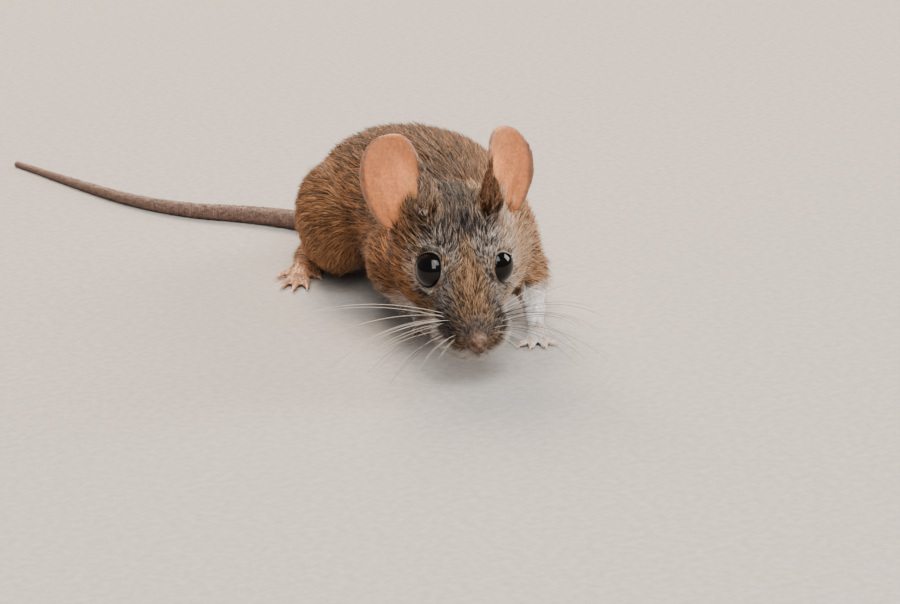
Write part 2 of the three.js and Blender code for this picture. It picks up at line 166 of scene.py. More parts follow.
def ramp(value, start, end):
    """0 before start, 1 past end and a smooth rise between them; start may be the larger."""
    t = np.clip((value - start) / (end - start), 0, 1)
    return t * t * (3 - 2 * t)


def near(points, place, reach):
    """1 at a place, fading as a bell over its reach."""
    return np.exp(-(((points - np.asarray(place, float)) / reach) ** 2).sum(-1))


def bell(value, middle, reach):
    """1 where a value is at its middle, fading as a bell over its reach."""
    return np.exp(-(((value - middle) / reach) ** 2))


def share_of(weights, *names):
    """How much of some regions each point holds."""
    return sum(weights[:, REGION_AT[name]] for name in names)


def on_head(points, weights, numbers, at, values):
    """A number of each region, mixed by weight; on the head it runs from the nose (-12) to the crown (12)."""
    by_place = np.interp(in_head(points)[:, 1], at, values)
    return weights @ numbers + share_of(weights, "head") * (by_place - numbers[REGION_AT["head"]])


class Waves:
    """A smooth random field: a sum of waves of about one length, from -1 to 1."""

    def __init__(self, length, count=9):
        way = unit(chance.normal(size=(count, 3)))
        self.way = way * 2 * math.pi / (length * chance.uniform(0.7, 1.4, (count, 1)))
        self.phase = chance.uniform(0, 2 * math.pi, count)

    def __call__(self, points):
        return np.sin(points @ self.way.T + self.phase).sum(-1) / math.sqrt(len(self.phase))


# ---- Meshes from arrays, and small helpers -------------------------------------------------------
def deselect():
    for thing in bpy.context.selected_objects:
        thing.select_set(False)


def make_active(thing):
    deselect()
    thing.select_set(True)
    bpy.context.view_layer.objects.active = thing


def join(things):
    """Joins some objects into the first of them."""
    make_active(things[0])
    for thing in things:
        thing.select_set(True)
    bpy.ops.object.join()


def added(name, add, **settings):
    """A new primitive, made with nothing else selected."""
    deselect()
    add(**settings)
    thing = bpy.context.object
    thing.name = name
    return thing


@contextmanager
def edited(mesh):
    """A mesh that is open for editing and is written back at the end."""
    opened = bmesh.new()
    opened.from_mesh(mesh)
    yield opened
    opened.to_mesh(mesh)
    opened.free()


def shade_smooth(mesh):
    mesh.polygons.foreach_set("use_smooth", np.ones(len(mesh.polygons), bool))


def mesh_object(name, points, corners, starts):
    """A smooth object from its points, the point at each corner and the corner that each face starts at."""
    mesh = bpy.data.meshes.new(name)
    mesh.vertices.add(len(points))
    mesh.vertices.foreach_set("co", (points * MM).astype(np.float32).ravel())
    mesh.loops.add(corners.size)
    mesh.loops.foreach_set("vertex_index", corners.astype(np.int32).ravel())
    mesh.polygons.add(starts.size)
    mesh.polygons.foreach_set("loop_start", starts.astype(np.int32).ravel())
    mesh.update(calc_edges=True)
    shade_smooth(mesh)
    thing = bpy.data.objects.new(name, mesh)
    bpy.context.scene.collection.objects.link(thing)
    return thing


def tube(line, ahead, radii, sides, over=(0, 0, 1)):
    """Points and faces of a tube along a line, open at both ends; its rings start square to over."""
    side = unit(np.cross(ahead, over))
    up = np.cross(side, ahead)
    turn = np.linspace(0, 2 * math.pi, sides, endpoint=False)
    ring = side[:, None] * np.cos(turn)[:, None] + up[:, None] * np.sin(turn)[:, None]
    points = line[:, None] + ring * radii[:, None, None]
    first = np.arange(len(line) - 1)[:, None] * sides + np.arange(sides)
    after = np.arange(len(line) - 1)[:, None] * sides + (np.arange(sides) + 1) % sides
    return points.reshape(-1, 3), np.stack([first, after, after + sides, first + sides], -1).reshape(-1, 4)


def closed_tubes(name, points, quads, sides):
    """An object of tubes, with their open ends closed and all their faces pointing outwards."""
    thing = mesh_object(name, points, quads, np.arange(len(quads)) * 4)
    with edited(thing.data) as shell:
        bmesh.ops.holes_fill(shell, edges=[e for e in shell.edges if e.is_boundary], sides=sides)
        bmesh.ops.recalc_face_normals(shell, faces=shell.faces)
    return thing


def pulled(items, name, width=1, kind=np.int32):
    """One property of all of a mesh's points, edges, faces or corners, as an array."""
    flat = np.empty(len(items) * width, kind)
    items.foreach_get(name, flat)
    return flat.reshape(-1, width) if width > 1 else flat


def points_of(mesh):
    return pulled(mesh.vertices, "co", 3, np.float32).astype(float) / MM


def normals_of(mesh):
    return pulled(mesh.vertex_normals, "vector", 3, np.float32).astype(float)


def set_points(mesh, points):
    mesh.vertices.foreach_set("co", (points * MM).astype(np.float32).ravel())
    mesh.update()


def edges_of(mesh):
    return pulled(mesh.edges, "vertices", 2)


def apply_modifiers(thing):
    make_active(thing)
    for modifier in list(thing.modifiers):
        bpy.ops.object.modifier_apply(modifier=modifier.name)


def paint(mesh, name, colours):
    """Writes one linear colour for each vertex."""
    layer = mesh.color_attributes.new(name, "FLOAT_COLOR", "POINT")
    full = np.ones((len(colours), 4), np.float32)
    full[:, :3] = colours
    layer.data.foreach_set("color", full.ravel())


def write_numbers(mesh, name, values):
    layer = mesh.attributes.new(name, "FLOAT", "POINT")
    layer.data.foreach_set("value", np.asarray(values, np.float32))


def neighbour_mean(values, edges, count):
    """For each vertex, the mean of a value over the vertices joined to it."""
    values = values.reshape(count, -1)
    near_count = np.bincount(edges.ravel(), minlength=count)[:, None]
    total = np.empty_like(values)
    for column in range(values.shape[1]):
        total[:, column] = (np.bincount(edges[:, 0], values[edges[:, 1], column], count)
                            + np.bincount(edges[:, 1], values[edges[:, 0], column], count))
    return total / np.maximum(near_count, 1)


def shade(text):
    """A linear colour from its written form, such as a1b2c3."""
    parts = np.array([int(text[i:i + 2], 16) / 255 for i in (0, 2, 4)])
    return np.where(parts <= 0.04045, parts / 12.92, ((parts + 0.055) / 1.055) ** 2.4)


def finish_piece(thing, slot, *nodes):
    """Hangs a finished piece on the root body and hides the solids that it stands for; slot is not used."""
    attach(thing, "root")
    if nodes:
        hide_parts(*nodes)
    return thing


# ---- Materials -----------------------------------------------------------------------------------
def new_material(name, roughness, **fixed):
    """A material, its node tree and its shader; fixed sets the sockets whose names have _ for each space."""
    material = bpy.data.materials.new(name)
    material.use_nodes = True
    tree = material.node_tree
    shader = tree.nodes["Principled BSDF"]
    shader.inputs["Roughness"].default_value = roughness
    for socket, value in fixed.items():
        shader.inputs[socket.replace("_", " ")].default_value = value
    return material, tree, shader


def painted_colour(tree, name="Markings"):
    node = tree.nodes.new("ShaderNodeAttribute")
    node.attribute_name = name
    return node.outputs["Color"]


def noise(tree, scale, detail=2.0, roughness=0.5):
    """Noise on the object's own coordinates; the scale is in waves per millimetre."""
    place = tree.nodes.new("ShaderNodeTexCoord")
    node = tree.nodes.new("ShaderNodeTexNoise")
    node.inputs["Scale"].default_value = scale / MM
    node.inputs["Detail"].default_value = detail
    node.inputs["Roughness"].default_value = roughness
    tree.links.new(place.outputs["Object"], node.inputs["Vector"])
    return node.outputs["Fac"]


def ranged(tree, value, low, high, start=0.3, end=0.7):
    node = tree.nodes.new("ShaderNodeMapRange")
    for name, number in zip(("From Min", "From Max", "To Min", "To Max"), (start, end, low, high)):
        node.inputs[name].default_value = number
    tree.links.new(value, node.inputs["Value"])
    return node.outputs["Result"]


def tinted(tree, colour, value, blend="MULTIPLY"):
    """A colour brightened or darkened by a grey value."""
    node = tree.nodes.new("ShaderNodeMix")
    node.data_type = "RGBA"
    node.blend_type = blend
    node.inputs["Factor"].default_value = 1.0
    tree.links.new(colour, node.inputs["A"])
    tree.links.new(value, node.inputs["B"])
    return node.outputs["Result"]


def bumped(tree, shader, height, strength, depth):
    node = tree.nodes.new("ShaderNodeBump")
    node.inputs["Strength"].default_value = strength
    node.inputs["Distance"].default_value = depth * MM
    tree.links.new(height, node.inputs["Height"])
    tree.links.new(node.outputs["Normal"], shader.inputs["Normal"])


def skin_material(name, roughness, grain, depth, spread=0.0):
    """Skin whose colour is painted on, with a fine grain and a little light spreading inside it."""
    material, tree, shader = new_material(name, roughness)
    colour = tinted(tree, painted_colour(tree), ranged(tree, noise(tree, grain, 4.0), 0.8, 1.18))
    tree.links.new(colour, shader.inputs["Base Color"])
    if spread:
        shader.inputs["Subsurface Weight"].default_value = spread
        shader.inputs["Subsurface Radius"].default_value = (1.0, 0.42, 0.24)
        shader.inputs["Subsurface Scale"].default_value = 1.0 * MM
    bumped(tree, shader, noise(tree, grain * 1.6, 3.0), 0.6, depth)
    return material


def tail_material():
    """Bare scaly skin in rings, from the run along the tail that each vertex carries."""
    material, tree, shader = new_material("tail_scales", 0.62)
    run = tree.nodes.new("ShaderNodeAttribute")
    run.attribute_name = "TailRun"
    wave = tree.nodes.new("ShaderNodeMath")
    wave.operation = "MULTIPLY"
    wave.inputs[1].default_value = 2 * math.pi / TAIL_SCALE_RUN
    tree.links.new(run.outputs["Fac"], wave.inputs[0])
    ring = tree.nodes.new("ShaderNodeMath")
    ring.operation = "SINE"
    tree.links.new(wave.outputs[0], ring.inputs[0])
    colour = tinted(tree, painted_colour(tree), ranged(tree, ring.outputs[0], 0.72, 1.1, -1, 1))
    colour = tinted(tree, colour, ranged(tree, noise(tree, 1.2, 3.0), 0.8, 1.2))
    tree.links.new(colour, shader.inputs["Base Color"])
    bumped(tree, shader, ring.outputs[0], 0.8, 0.06)
    return material


def hair_material(name, roughness):
    material, tree, shader = new_material(name, roughness, Specular_IOR_Level=0.22)
    tree.links.new(painted_colour(tree), shader.inputs["Base Color"])
    return material


def mottled(tree, shader, colour, grain, low, high):
    """Gives a shader one colour with a soft mottle."""
    base = tree.nodes.new("ShaderNodeRGB")
    base.outputs[0].default_value = (*shade(colour), 1)
    tree.links.new(tinted(tree, base.outputs[0], ranged(tree, grain, low, high)), shader.inputs["Base Color"])


def eye_material():
    material, tree, shader = new_material("eye_gloss", 0.03, Specular_IOR_Level=0.2)
    mottled(tree, shader, "080606", noise(tree, 0.9, 2.0), 0.5, 1.0)
    return material


def plain_material(name, colour, roughness, shine=0.5):
    """A surface of one colour with a soft mottle, for lids, claws and the floor."""
    material, tree, shader = new_material(name, roughness, Specular_IOR_Level=shine)
    mottled(tree, shader, colour, noise(tree, 0.8, 3.0), 0.88, 1.1)
    return material


# ---- Flesh: the forms that the skin is drawn over ------------------------------------------------
def flesh_copy(node, rounds, swell):
    """A welded copy of a solid, rounded by some subdivision and standing out a little all over."""
    thing = bpy.data.objects.new("flesh_" + node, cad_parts[node].data.copy())
    bpy.context.scene.collection.objects.link(thing)
    with edited(thing.data) as welded:
        bmesh.ops.remove_doubles(welded, verts=welded.verts, dist=0.001 * MM)
    if rounds:
        modifier = thing.modifiers.new("round", "SUBSURF")
        modifier.levels = modifier.render_levels = rounds
        apply_modifiers(thing)
    set_points(thing.data, points_of(thing.data) + normals_of(thing.data) * swell)
    return thing


def ear_turn(name):
    """How an ear is turned in the head's frame, and the place of its root there."""
    side, (out, turn, lean) = SIDES[name], EARS[name]
    turned = Euler((math.radians(-EAR_LEAN_BACK), math.radians(lean) * side, 0), "XYZ").to_matrix()
    turned = Matrix.Rotation(math.radians(turn) * side, 3, "Z") @ turned
    return np.array(turned), np.array((out * side, EAR_BACK, EAR_UP))


def ear_half_width(chord, across, high):
    """Half the ear's width, from its root (high -1) to its tip (1); its upper inner edge is drawn in."""
    drawn_in = EAR_DRAWN_IN * ramp(-across, 0, 0.5) * np.maximum(high + 0.2, 0)
    return EAR_WIDTH / 2 * chord ** 0.8 * (0.93 + 0.09 * high) * (1 - drawn_in)


def ear_form(name):
    """A thin oval shell, curled most near its root, with its folds near the root and its turned rim."""
    side = SIDES[name]
    thing = added("flesh_ear_" + name, bpy.ops.mesh.primitive_uv_sphere_add, segments=72, ring_count=54,
                  radius=1.0)
    ball = np.array([v.co for v in thing.data.vertices])
    chord = np.maximum(np.hypot(ball[:, 0], ball[:, 1]), 1e-6)
    up = (ball[:, 2] + 1) / 2
    across = ball[:, 0] / chord * side  # -1 at the inner edge, 1 at the outer edge
    half = ear_half_width(chord, across, ball[:, 2])
    curl = EAR_CURL_ROOT + (EAR_CURL_TIP - EAR_CURL_ROOT) * up
    angle = ball[:, 0] / chord * half / curl
    inside = -ball[:, 1] / chord  # 1 on the hollow side, -1 on the back
    rim = ramp(np.abs(across) * chord ** 0.2, 0.9, 1.0)
    fold = (0.55 * bell(across - 0.35, 0.3 * up, 0.10) * ramp(up, 0.62, 0.42)
            + 0.4 * bell(across, -0.45, 0.12) * ramp(up, 0.6, 0.4))
    thick = EAR_THICK * (1 + 0.2 * rim + 0.5 * ramp(up, 0.5, 0.2))
    skin = curl - np.clip(2.6 * inside, -1, 1) * thick / 2 - fold * ramp(inside, 0.1, 0.6)
    lean_in = 0.5 * rim * ramp(up, 0.3, 0.6) * ramp(across, 0.4, 0.9)
    own = np.stack([skin * np.sin(angle), skin * np.cos(angle) - curl - lean_in, up * EAR_LENGTH], -1)
    turned, place = ear_turn(name)
    set_points(thing.data, from_head(own @ turned.T + place))
    return thing


def fold_form(name):
    """The slim ridge up an ear's inner edge that carries the hair of the ear's root."""
    thing = added("flesh_fold_" + name, bpy.ops.mesh.primitive_uv_sphere_add, segments=20, ring_count=30,
                  radius=1.0)
    ball = np.array([v.co for v in thing.data.vertices])
    share = ((ball[:, 2] + 1) / 2)[:, None]
    root, tip = (np.array((x * SIDES[name], y, z)) for x, y, z in (FOLD_ROOT, FOLD_TIP))
    radius = FOLD_ROOT_RADIUS + (FOLD_TIP_RADIUS - FOLD_ROOT_RADIUS) * share
    own = root + (tip - root) * share + np.concatenate([ball[:, :2] * radius, 0 * share], 1)
    turned, place = ear_turn(name)
    set_points(thing.data, from_head(own @ turned.T + place))
    return thing


def smooth_route(route, steps):
    """Points at equal runs along a smooth curve through given points, with the way ahead at each."""
    route = np.array(route, float)
    route = np.concatenate([[2 * route[0] - route[1]], route, [2 * route[-1] - route[-2]]])
    dense = []
    for a, b, c, d in zip(route, route[1:], route[2:], route[3:]):
        span = [max(np.linalg.norm(q - p) ** 0.5, 1e-4) for p, q in ((a, b), (b, c), (c, d))]
        leave = ((b - a) / span[0] - (c - a) / (span[0] + span[1]) + (c - b) / span[1]) * span[1]
        arrive = ((c - b) / span[1] - (d - b) / (span[1] + span[2]) + (d - c) / span[2]) * span[1]
        t = np.linspace(0, 1, 60, endpoint=False)[:, None]
        dense.append(b + leave * t + (3 * (c - b) - 2 * leave - arrive) * t ** 2
                     + (2 * (b - c) + leave + arrive) * t ** 3)
    dense = np.concatenate(dense + [route[-2:-1]])
    run = np.concatenate([[0], np.cumsum(np.linalg.norm(np.diff(dense, axis=0), axis=1))])
    at = np.linspace(0, run[-1], steps)
    places = np.stack([np.interp(at, run, dense[:, k]) for k in range(3)], -1)
    return places, unit(np.gradient(places, axis=0)), at


tail_places, tail_ways, tail_runs = smooth_route(TAIL_ROUTE, 260)
tail_share = tail_runs / tail_runs[-1]
tail_radii = TAIL_ROOT_RADIUS + (TAIL_TIP_RADIUS - TAIL_ROOT_RADIUS) * tail_share ** 0.8
tail_places[:, 2] = np.maximum(tail_places[:, 2], 0) + tail_radii - TAIL_FLAT
tail_places += body_shift


def tail_form(sides=18):
    """The tail as a tapered tube with a round tip, lying on the floor from the rump."""
    to_tip = np.clip((tail_runs[-1] - tail_runs) / TAIL_TIP_RADIUS, 0, 1)
    rounded = np.sqrt(np.clip(1 - (1 - to_tip) ** 2, 0.02, 1))
    return closed_tubes("flesh_tail", *tube(tail_places, tail_ways, tail_radii * rounded, sides), sides)


def toe_tips(foot):
    """The middle of each toe's end and the way that it points."""
    kind, name = foot.rsplit("_", 1)
    x, y, turn = FEET[foot]
    c, s = math.cos(math.radians(turn)), math.sin(math.radians(turn))
    tips, ways = [], []
    for out, back, length, splay in TOES[kind]:
        angle = math.radians(splay) * SIDES[name]
        own = np.array((out * SIDES[name] + length * math.sin(angle), back - length * math.cos(angle)))
        tips.append((x + c * own[0] - s * own[1], y + s * own[0] + c * own[1], TOE_TIP_UP))
        ways.append((math.sin(angle + math.radians(turn)), -math.cos(angle + math.radians(turn)), 0))
    return np.array(tips) + body_shift, np.array(ways)


def eye_place(side):
    return from_head((EYE_SIDE * side, EYE_BACK, EYE_UP))


def eye_way(side):
    return unit(way_from_head(np.array(EYE_AXES[side])))


def ball_at(name, place, radius, segments, rings):
    thing = added(name, bpy.ops.mesh.primitive_uv_sphere_add, segments=segments, ring_count=rings,
                  radius=radius * MM)
    set_points(thing.data, points_of(thing.data) + np.asarray(place))
    return thing


def flesh_forms():
    """Each form that the skin is drawn over, with its region."""
    forms = []
    for node in FLESH:
        region = node.rsplit("_", 1)[0] if node.endswith(("_left", "_right")) else node
        if region in REGIONS and SWELL[REGION_AT[region]] > 0:
            rounds = 2 if region == "nose" else 0
            forms.append((flesh_copy(node, rounds, SWELL[REGION_AT[region]]), region))
    forms += [(ear_form(name), "ear") for name in EARS]
    forms += [(fold_form(name), "fold") for name in EARS]
    forms += [(ball_at("flesh_eye", eye_place(side), EYE_RADIUS - EYE_COVER, 28, 20), "eye")
              for side in SIDES.values()]
    forms.append((tail_form(), "tail"))
    return forms


def coat_depth(points, weights):
    """How deep the coat is: on the head least on the muzzle, on a foreleg least at the wrist."""
    depth = on_head(points, weights, DEPTH, (-12, -8.5, -3, 4, 12), (0.2, 0.45, 0.75, 1.15, 1.4))
    up_leg = np.interp(points[:, 2], (3.0, 8.5), (0.3, 1.6))
    return depth + share_of(weights, "foreleg") * (up_leg - DEPTH[REGION_AT["foreleg"]])


# ---- Skin ----------------------------------------------------------------------------------------
def smoothed(points, edges, amount, rounds, regrow=0.52):
    """Points with their roughness taken off; amount says how much, for each, and regrow keeps the volume."""
    for _ in range(rounds):
        points = points + 0.5 * amount * (neighbour_mean(points, edges, len(points)) - points)
        if regrow:
            points = points - regrow * amount * (neighbour_mean(points, edges, len(points)) - points)
    return points


def region_weights(points, edges, forms_tree, face_region, rounds):
    """For each point, its share of each region, fading over a few millimetres at the borders."""
    weights = np.zeros((len(points), len(REGIONS)))
    for i, point in enumerate(points * MM):
        weights[i, face_region[forms_tree.find_nearest(point)[2]]] = 1
    for _ in range(rounds):
        weights = 0.4 * weights + 0.6 * neighbour_mean(weights, edges, len(points))
    return weights / weights.sum(1, keepdims=True)


def opening_at(ways, side):
    """Half of the angle that the lids leave open, in the ways that point from an eyeball's middle.

    The opening is a little drawn out, most towards its upper inner corner, and its upper outer lid droops."""
    way = eye_way(side)
    corner = way_from_head(np.array(EYE_CORNER) * (side, 1, 1))
    corner = unit(corner - way * (corner @ way))
    flat = unit(ways - (ways @ way)[..., None] * way)
    along = flat @ corner
    turn = np.degrees(np.arctan2(-side * (flat @ np.cross(way, corner)), along))  # 90 at the upper outer side
    droop = bell(turn, 50, 38) + 0.25 * bell(turn, -120, 40)
    drawn_out = 6.0 * np.clip(along, 0, 1) ** 6 + 2.0 * np.clip(-along, 0, 1) ** 4 - 2.5 * (1 - along ** 2)
    return EYE_OPENING + drawn_out - EYE_DROOP[side] * droop


def eye_angle(points, side):
    """How far each point lies past the edge of an eyeball's lids, in degrees, and from its middle."""
    out = points - eye_place(side)
    far = np.linalg.norm(out, axis=1)
    ways = out / np.maximum(far, 1e-6)[:, None]
    angle = np.degrees(np.arccos(np.clip(ways @ eye_way(side), -1, 1)))
    return angle - opening_at(ways, side), far


def open_eyes(points):
    """Draws the skin round each eyeball: sunk under the open eye, and standing as a lid at its edge."""
    for side in SIDES.values():
        past, far = eye_angle(points, side)
        sunk = EYE_RADIUS * 0.82
        lid = EYE_RADIUS + 0.09 + 0.08 * bell(past, 5, 6)
        drawn_in = ramp(past, 40, 8)
        outer = np.maximum(lid, far + (lid - far) * drawn_in)
        target = sunk + (outer - sunk) * ramp(past, -5, 0)
        held = ramp(past, 90, 65) * ramp(far, EYE_RADIUS + 3.2, EYE_RADIUS + 1.8)
        middle = eye_place(side)
        points = middle + (points - middle) * ((far + (target - far) * held) / np.maximum(far, 1e-6))[:, None]
    return points


def shape_muzzle(points):
    """Sinks the nostrils, the groove below the nose and the line of the mouth into the skin."""
    own = in_head(points)
    for side in SIDES.values():
        dents = (  # place, reach, how far it moves the skin
            ((0.85 * side, -13.4, -4.35), (0.36, 0.8, 0.42), (-0.15 * side, 0.6, 0.05)),  # pit of the nostril
            ((1.3 * side, -13.0, -3.9), (0.45, 0.8, 0.28), (-0.1 * side, 0.4, 0.0)),  # its slit
            ((1.1 * side, -12.8, -3.1), (0.55, 0.8, 0.4), (0.08 * side, -0.14, 0.06)),  # wing above it
            ((0.55 * side, -13.0, -5.4), (0.42, 0.7, 0.45), (0, -0.16, -0.06)),  # lobe below it
        )
        own += sum(near(own, place, reach)[:, None] * np.array(move) for place, reach, move in dents)
    groove = bell(own[:, 0], 0, 0.17) * ramp(own[:, 2], -4.2, -4.9) * ramp(own[:, 1], -9.5, -11)
    own[:, 1] += 0.3 * groove
    line = -6.7 - 0.2 * np.abs(own[:, 0]) - 0.14 * (own[:, 1] + 12)
    mouth = bell(own[:, 2], line, 0.28) * ramp(own[:, 1], -5.0, -7.0)
    own[:, 1] += 0.4 * mouth
    own[:, 0] -= np.sign(own[:, 0]) * 0.35 * mouth * ramp(np.abs(own[:, 0]), 0.4, 1.5)
    return from_head(own)


def refine_face(thing):
    """Halves the faces at the eyes, the nose and the ears' roots, where the forms are smallest."""
    own = in_head(points_of(thing.data))
    fine = (own[:, 1] < 2.6) & (own[:, 1] > -16) & (np.abs(own[:, 0]) < 9) & (own[:, 2] > -10)
    with edited(thing.data) as face:
        edges = [e for e in face.edges if fine[e.verts[0].index] and fine[e.verts[1].index]]
        bmesh.ops.subdivide_edges(face, edges=edges, cuts=1, use_grid_fill=True, smooth=0.0)


def thin_out_broad(thing):
    """Leaves fewer faces on the trunk and neck, whose forms are broad and lie under long fur."""
    own, body = in_head(points_of(thing.data)), in_body(points_of(thing.data))
    broad = (body[:, 1] > 13) & (body[:, 1] < 68) & (body[:, 2] > 3.5) & (own[:, 2] < 8.5)
    group = thing.vertex_groups.new(name="broad")
    group.add([int(i) for i in np.flatnonzero(broad)], 1.0, "REPLACE")
    modifier = thing.modifiers.new("thin", "DECIMATE")
    modifier.ratio = BROAD_FACES_KEPT
    modifier.vertex_group = "broad"
    apply_modifiers(thing)
    thing.vertex_groups.clear()


def drop_loose(thing):
    """Deletes what isn't joined to the largest piece of a mesh."""
    with edited(thing.data) as whole:
        met, parts = set(), []
        for start in whole.verts:
            if start in met:
                continue
            part = [start]
            met.add(start)
            for vert in part:
                joined = {end for edge in vert.link_edges for end in edge.verts} - met
                met |= joined
                part += joined
            parts.append(part)
        parts.sort(key=len)
        bmesh.ops.delete(whole, geom=[vert for part in parts[:-1] for vert in part], context="VERTS")


def settle_ears(points, weights, ears_tree):
    """Lays the ears' skin on their smooth forms, which the drawing over left a little stepped."""
    share = ramp(share_of(weights, "ear"), 0.55, 0.9)
    for i in np.flatnonzero(share > 0):
        place = np.array(ears_tree.find_nearest(points[i] * MM)[0]) / MM
        points[i] += (place - points[i]) * share[i]
    return points


def tree_of(things):
    """A tree for finding the nearest place on some meshes."""
    points, faces, start = [], [], 0
    for thing in things:
        points += [v.co.copy() for v in thing.data.vertices]
        faces += [tuple(start + i for i in p.vertices) for p in thing.data.polygons]
        start = len(points)
    return BVHTree.FromPolygons(points, faces)


def drawn_over(things):
    """One closed mesh drawn over some forms."""
    skin = things[0]
    join(things)
    skin.name = skin.data.name = "skin"
    skin.data.materials.clear()
    modifier = skin.modifiers.new("draw", "REMESH")
    modifier.mode = "VOXEL"
    modifier.voxel_size = SKIN_VOXEL * MM
    apply_modifiers(skin)
    drop_loose(skin)
    return skin


def make_skin():
    """The one skin, with each point's share of each region: faded weights, and sharp ones for colours."""
    forms = flesh_forms()
    face_region = np.concatenate([np.full(len(thing.data.polygons), REGION_AT[region])
                                  for thing, region in forms])
    forms_tree = tree_of([thing for thing, _ in forms])
    ears_tree = tree_of([thing for thing, region in forms if region == "ear"])
    skin = drawn_over([thing for thing, _ in forms])
    mesh = skin.data
    points, edges = points_of(mesh), edges_of(mesh)
    weights = region_weights(points, edges, forms_tree, face_region, 6)
    broad = np.clip(1 - 1.3 * share_of(weights, *SMALL_FORMS), 0, 1)
    broad *= np.interp(in_head(points)[:, 1], (-12, -6), (0.35, 1))
    points = smoothed(points, edges, broad[:, None], 24, regrow=0)
    points = smoothed(points, edges, np.full((len(points), 1), 0.6), 5)
    set_points(mesh, points)
    thin_out_broad(skin)
    refine_face(skin)
    points, edges = points_of(mesh), edges_of(mesh)
    weights = region_weights(points, edges, forms_tree, face_region, 26)
    sharp = region_weights(points, edges, forms_tree, face_region, 2)
    points = points - normals_of(mesh) * (coat_depth(points, weights) + weights @ SWELL)[:, None]
    points = smoothed(points, edges, np.clip(1 - share_of(weights, *SMALL_FORMS), 0, 1)[:, None], 8, regrow=0)
    points = settle_ears(points, sharp, ears_tree)
    points = shape_muzzle(open_eyes(points))
    points[:, 2] = np.maximum(points[:, 2], 0.0)
    set_points(mesh, points)
    shade_smooth(mesh)
    return skin, weights, sharp


# ---- Markings: one set of colours for skin and coat ----------------------------------------------
def ear_spot(points, name):
    """Where a point lies on an ear: across it (-1 inner edge, 1 outer), up it, and how far on its back."""
    turned, place = ear_turn(name)
    own = (in_head(points) - place) @ turned
    up = np.clip(own[:, 2] / EAR_LENGTH, 0.01, 0.99)
    curl = EAR_CURL_ROOT + (EAR_CURL_TIP - EAR_CURL_ROOT) * up
    chord = np.sqrt(np.maximum(1 - (2 * up - 1) ** 2, 0.02))
    angle = np.arctan2(own[:, 0], own[:, 1] + curl) * SIDES[name]
    across = angle * curl / ear_half_width(chord, np.sign(angle), 2 * up - 1)
    return across, up, ramp(np.hypot(own[:, 0], own[:, 1] + curl) - curl, -0.12, 0.12)


def on_side(points, side):
    """Whether each point lies on one side of the head."""
    return np.sign(in_head(points)[:, 0]) == side


def hand_over(shares, giver, taker, taken):
    """Gives a part of what each point holds of one region to another region."""
    for share in shares:
        held = share_of(share, giver)
        share[:, REGION_AT[taker]] += held * taken
        share[:, REGION_AT[giver]] = held * (1 - taken)


def fur_edges(points, *shares):
    """Hands the lids' skin to the head, and the lower inner edge of each ear to its furred fold."""
    for side in SIDES.values():
        past, far = eye_angle(points, side)
        hand_over(shares, "eye", "head", ramp(past, 1, 2.5) * (far < EYE_RADIUS + 2.2))
    for name, side in SIDES.items():
        across, up, _ = ear_spot(points, name)
        edge = ramp(-across, 0.62, 0.8) * ramp(up, 0.66, 0.5)
        foot = ramp(-across, 0.1, 0.4) * ramp(up, 0.3, 0.2)
        hand_over(shares, "ear", "fold", np.maximum(edge, foot) * on_side(points, side))


class Marks:
    """A light and a dark hair colour at each point, and the share of dark hairs."""

    def __init__(self, count, light, dark, share):
        self.light = np.tile(shade(light), (count, 1))
        self.dark = np.tile(shade(dark), (count, 1))
        self.share = np.full(count, float(share))

    def lay(self, mask, light, dark, share):
        mask = np.clip(mask, 0, 1)
        self.light += mask[:, None] * (shade(light) - self.light)
        self.dark += mask[:, None] * (shade(dark) - self.dark)
        self.share += mask * (share - self.share)


patchy = Waves(2.2)
streaky = Waves(1.1)


def fringe(own):
    """How far each place in the head frame lies on the pale lower rim of the whisker pads."""
    drop = 0.5 * np.abs(own[:, 0]) - 0.9 * (own[:, 2] + 3) + 0.25 * (own[:, 1] + 11)
    low = ramp(own[:, 2], -5.5, -6.1) * ramp(own[:, 1], -7.0, -9.0)
    return np.maximum(low, ramp(drop, 3.8, 4.3) * ramp(own[:, 1], -4.5, -6.5))


def face_zones(own, uneven):
    """The markings of the crown and cheeks: mask, light hair, dark hair and the share of dark hairs."""
    x, y, z = own.T
    out = np.abs(x)
    crown = bell(x, -0.3 * uneven, 3.2) * ramp(y, 1.5, 5.0) * ramp(y, 15.0, 10.5)
    by_ears = ramp(out, 2.0, 3.0) * ramp(out, 5.4, 4.2) * ramp(y, 6.8, 9.0) * ramp(y, 13.5, 10.5)
    brow = ramp(out, 1.2, 2.6) * ramp(out, 6.0, 3.6) * ramp(y, -2.5, 0.0) * ramp(y, 5.0, 2.5)
    return [
        (np.ones(len(x)), "aa8868", "281d17", 0.5),  # grizzled tan all over
        (ramp(-x, 4.2, 7.0) * ramp(z, 2.5, -0.5), "bb7e4b", "38251a", 0.32),  # warm right cheek
        (ramp(-x, 5.5, 8.0) * ramp(y, 1.0, 5.0), "ad7850", "32221a", 0.42),  # behind the right eye
        (near(own, (-9.6, 6.5, 0.5), (1.6, 2.0, 3.2)), "4d3528", "1c1411", 0.75),  # painted shade where the right cheek meets the shoulder
        (ramp(x, 3.0, 6.0) * ramp(y, 6.0, 2.0), "c8ac94", "5f4a3d", 0.28),  # pale left cheek
        (ramp(x, 5.0, 7.5) * ramp(y, 0.0, 3.5), "cba684", "6e5744", 0.3),  # pale strip behind the left eye
        (near(own, (7.6, 5.4, 4.0), (2.2, 2.4, 2.4)), "e0cdba", "80695a", 0.2),  # pale below the left ear
        (crown, "554e4f", "121012", 0.78),
        (bell(x, 0.3, 2.4) * ramp(y, -1.5, 1.5) * ramp(y, 5.0, 3.0), "6a6260", "191718", 0.68),  # forehead
        (0.75 * by_ears, "ceac8a", "5a4437", 0.32),
        (brow, "96867a", "28211e", 0.6),
    ]


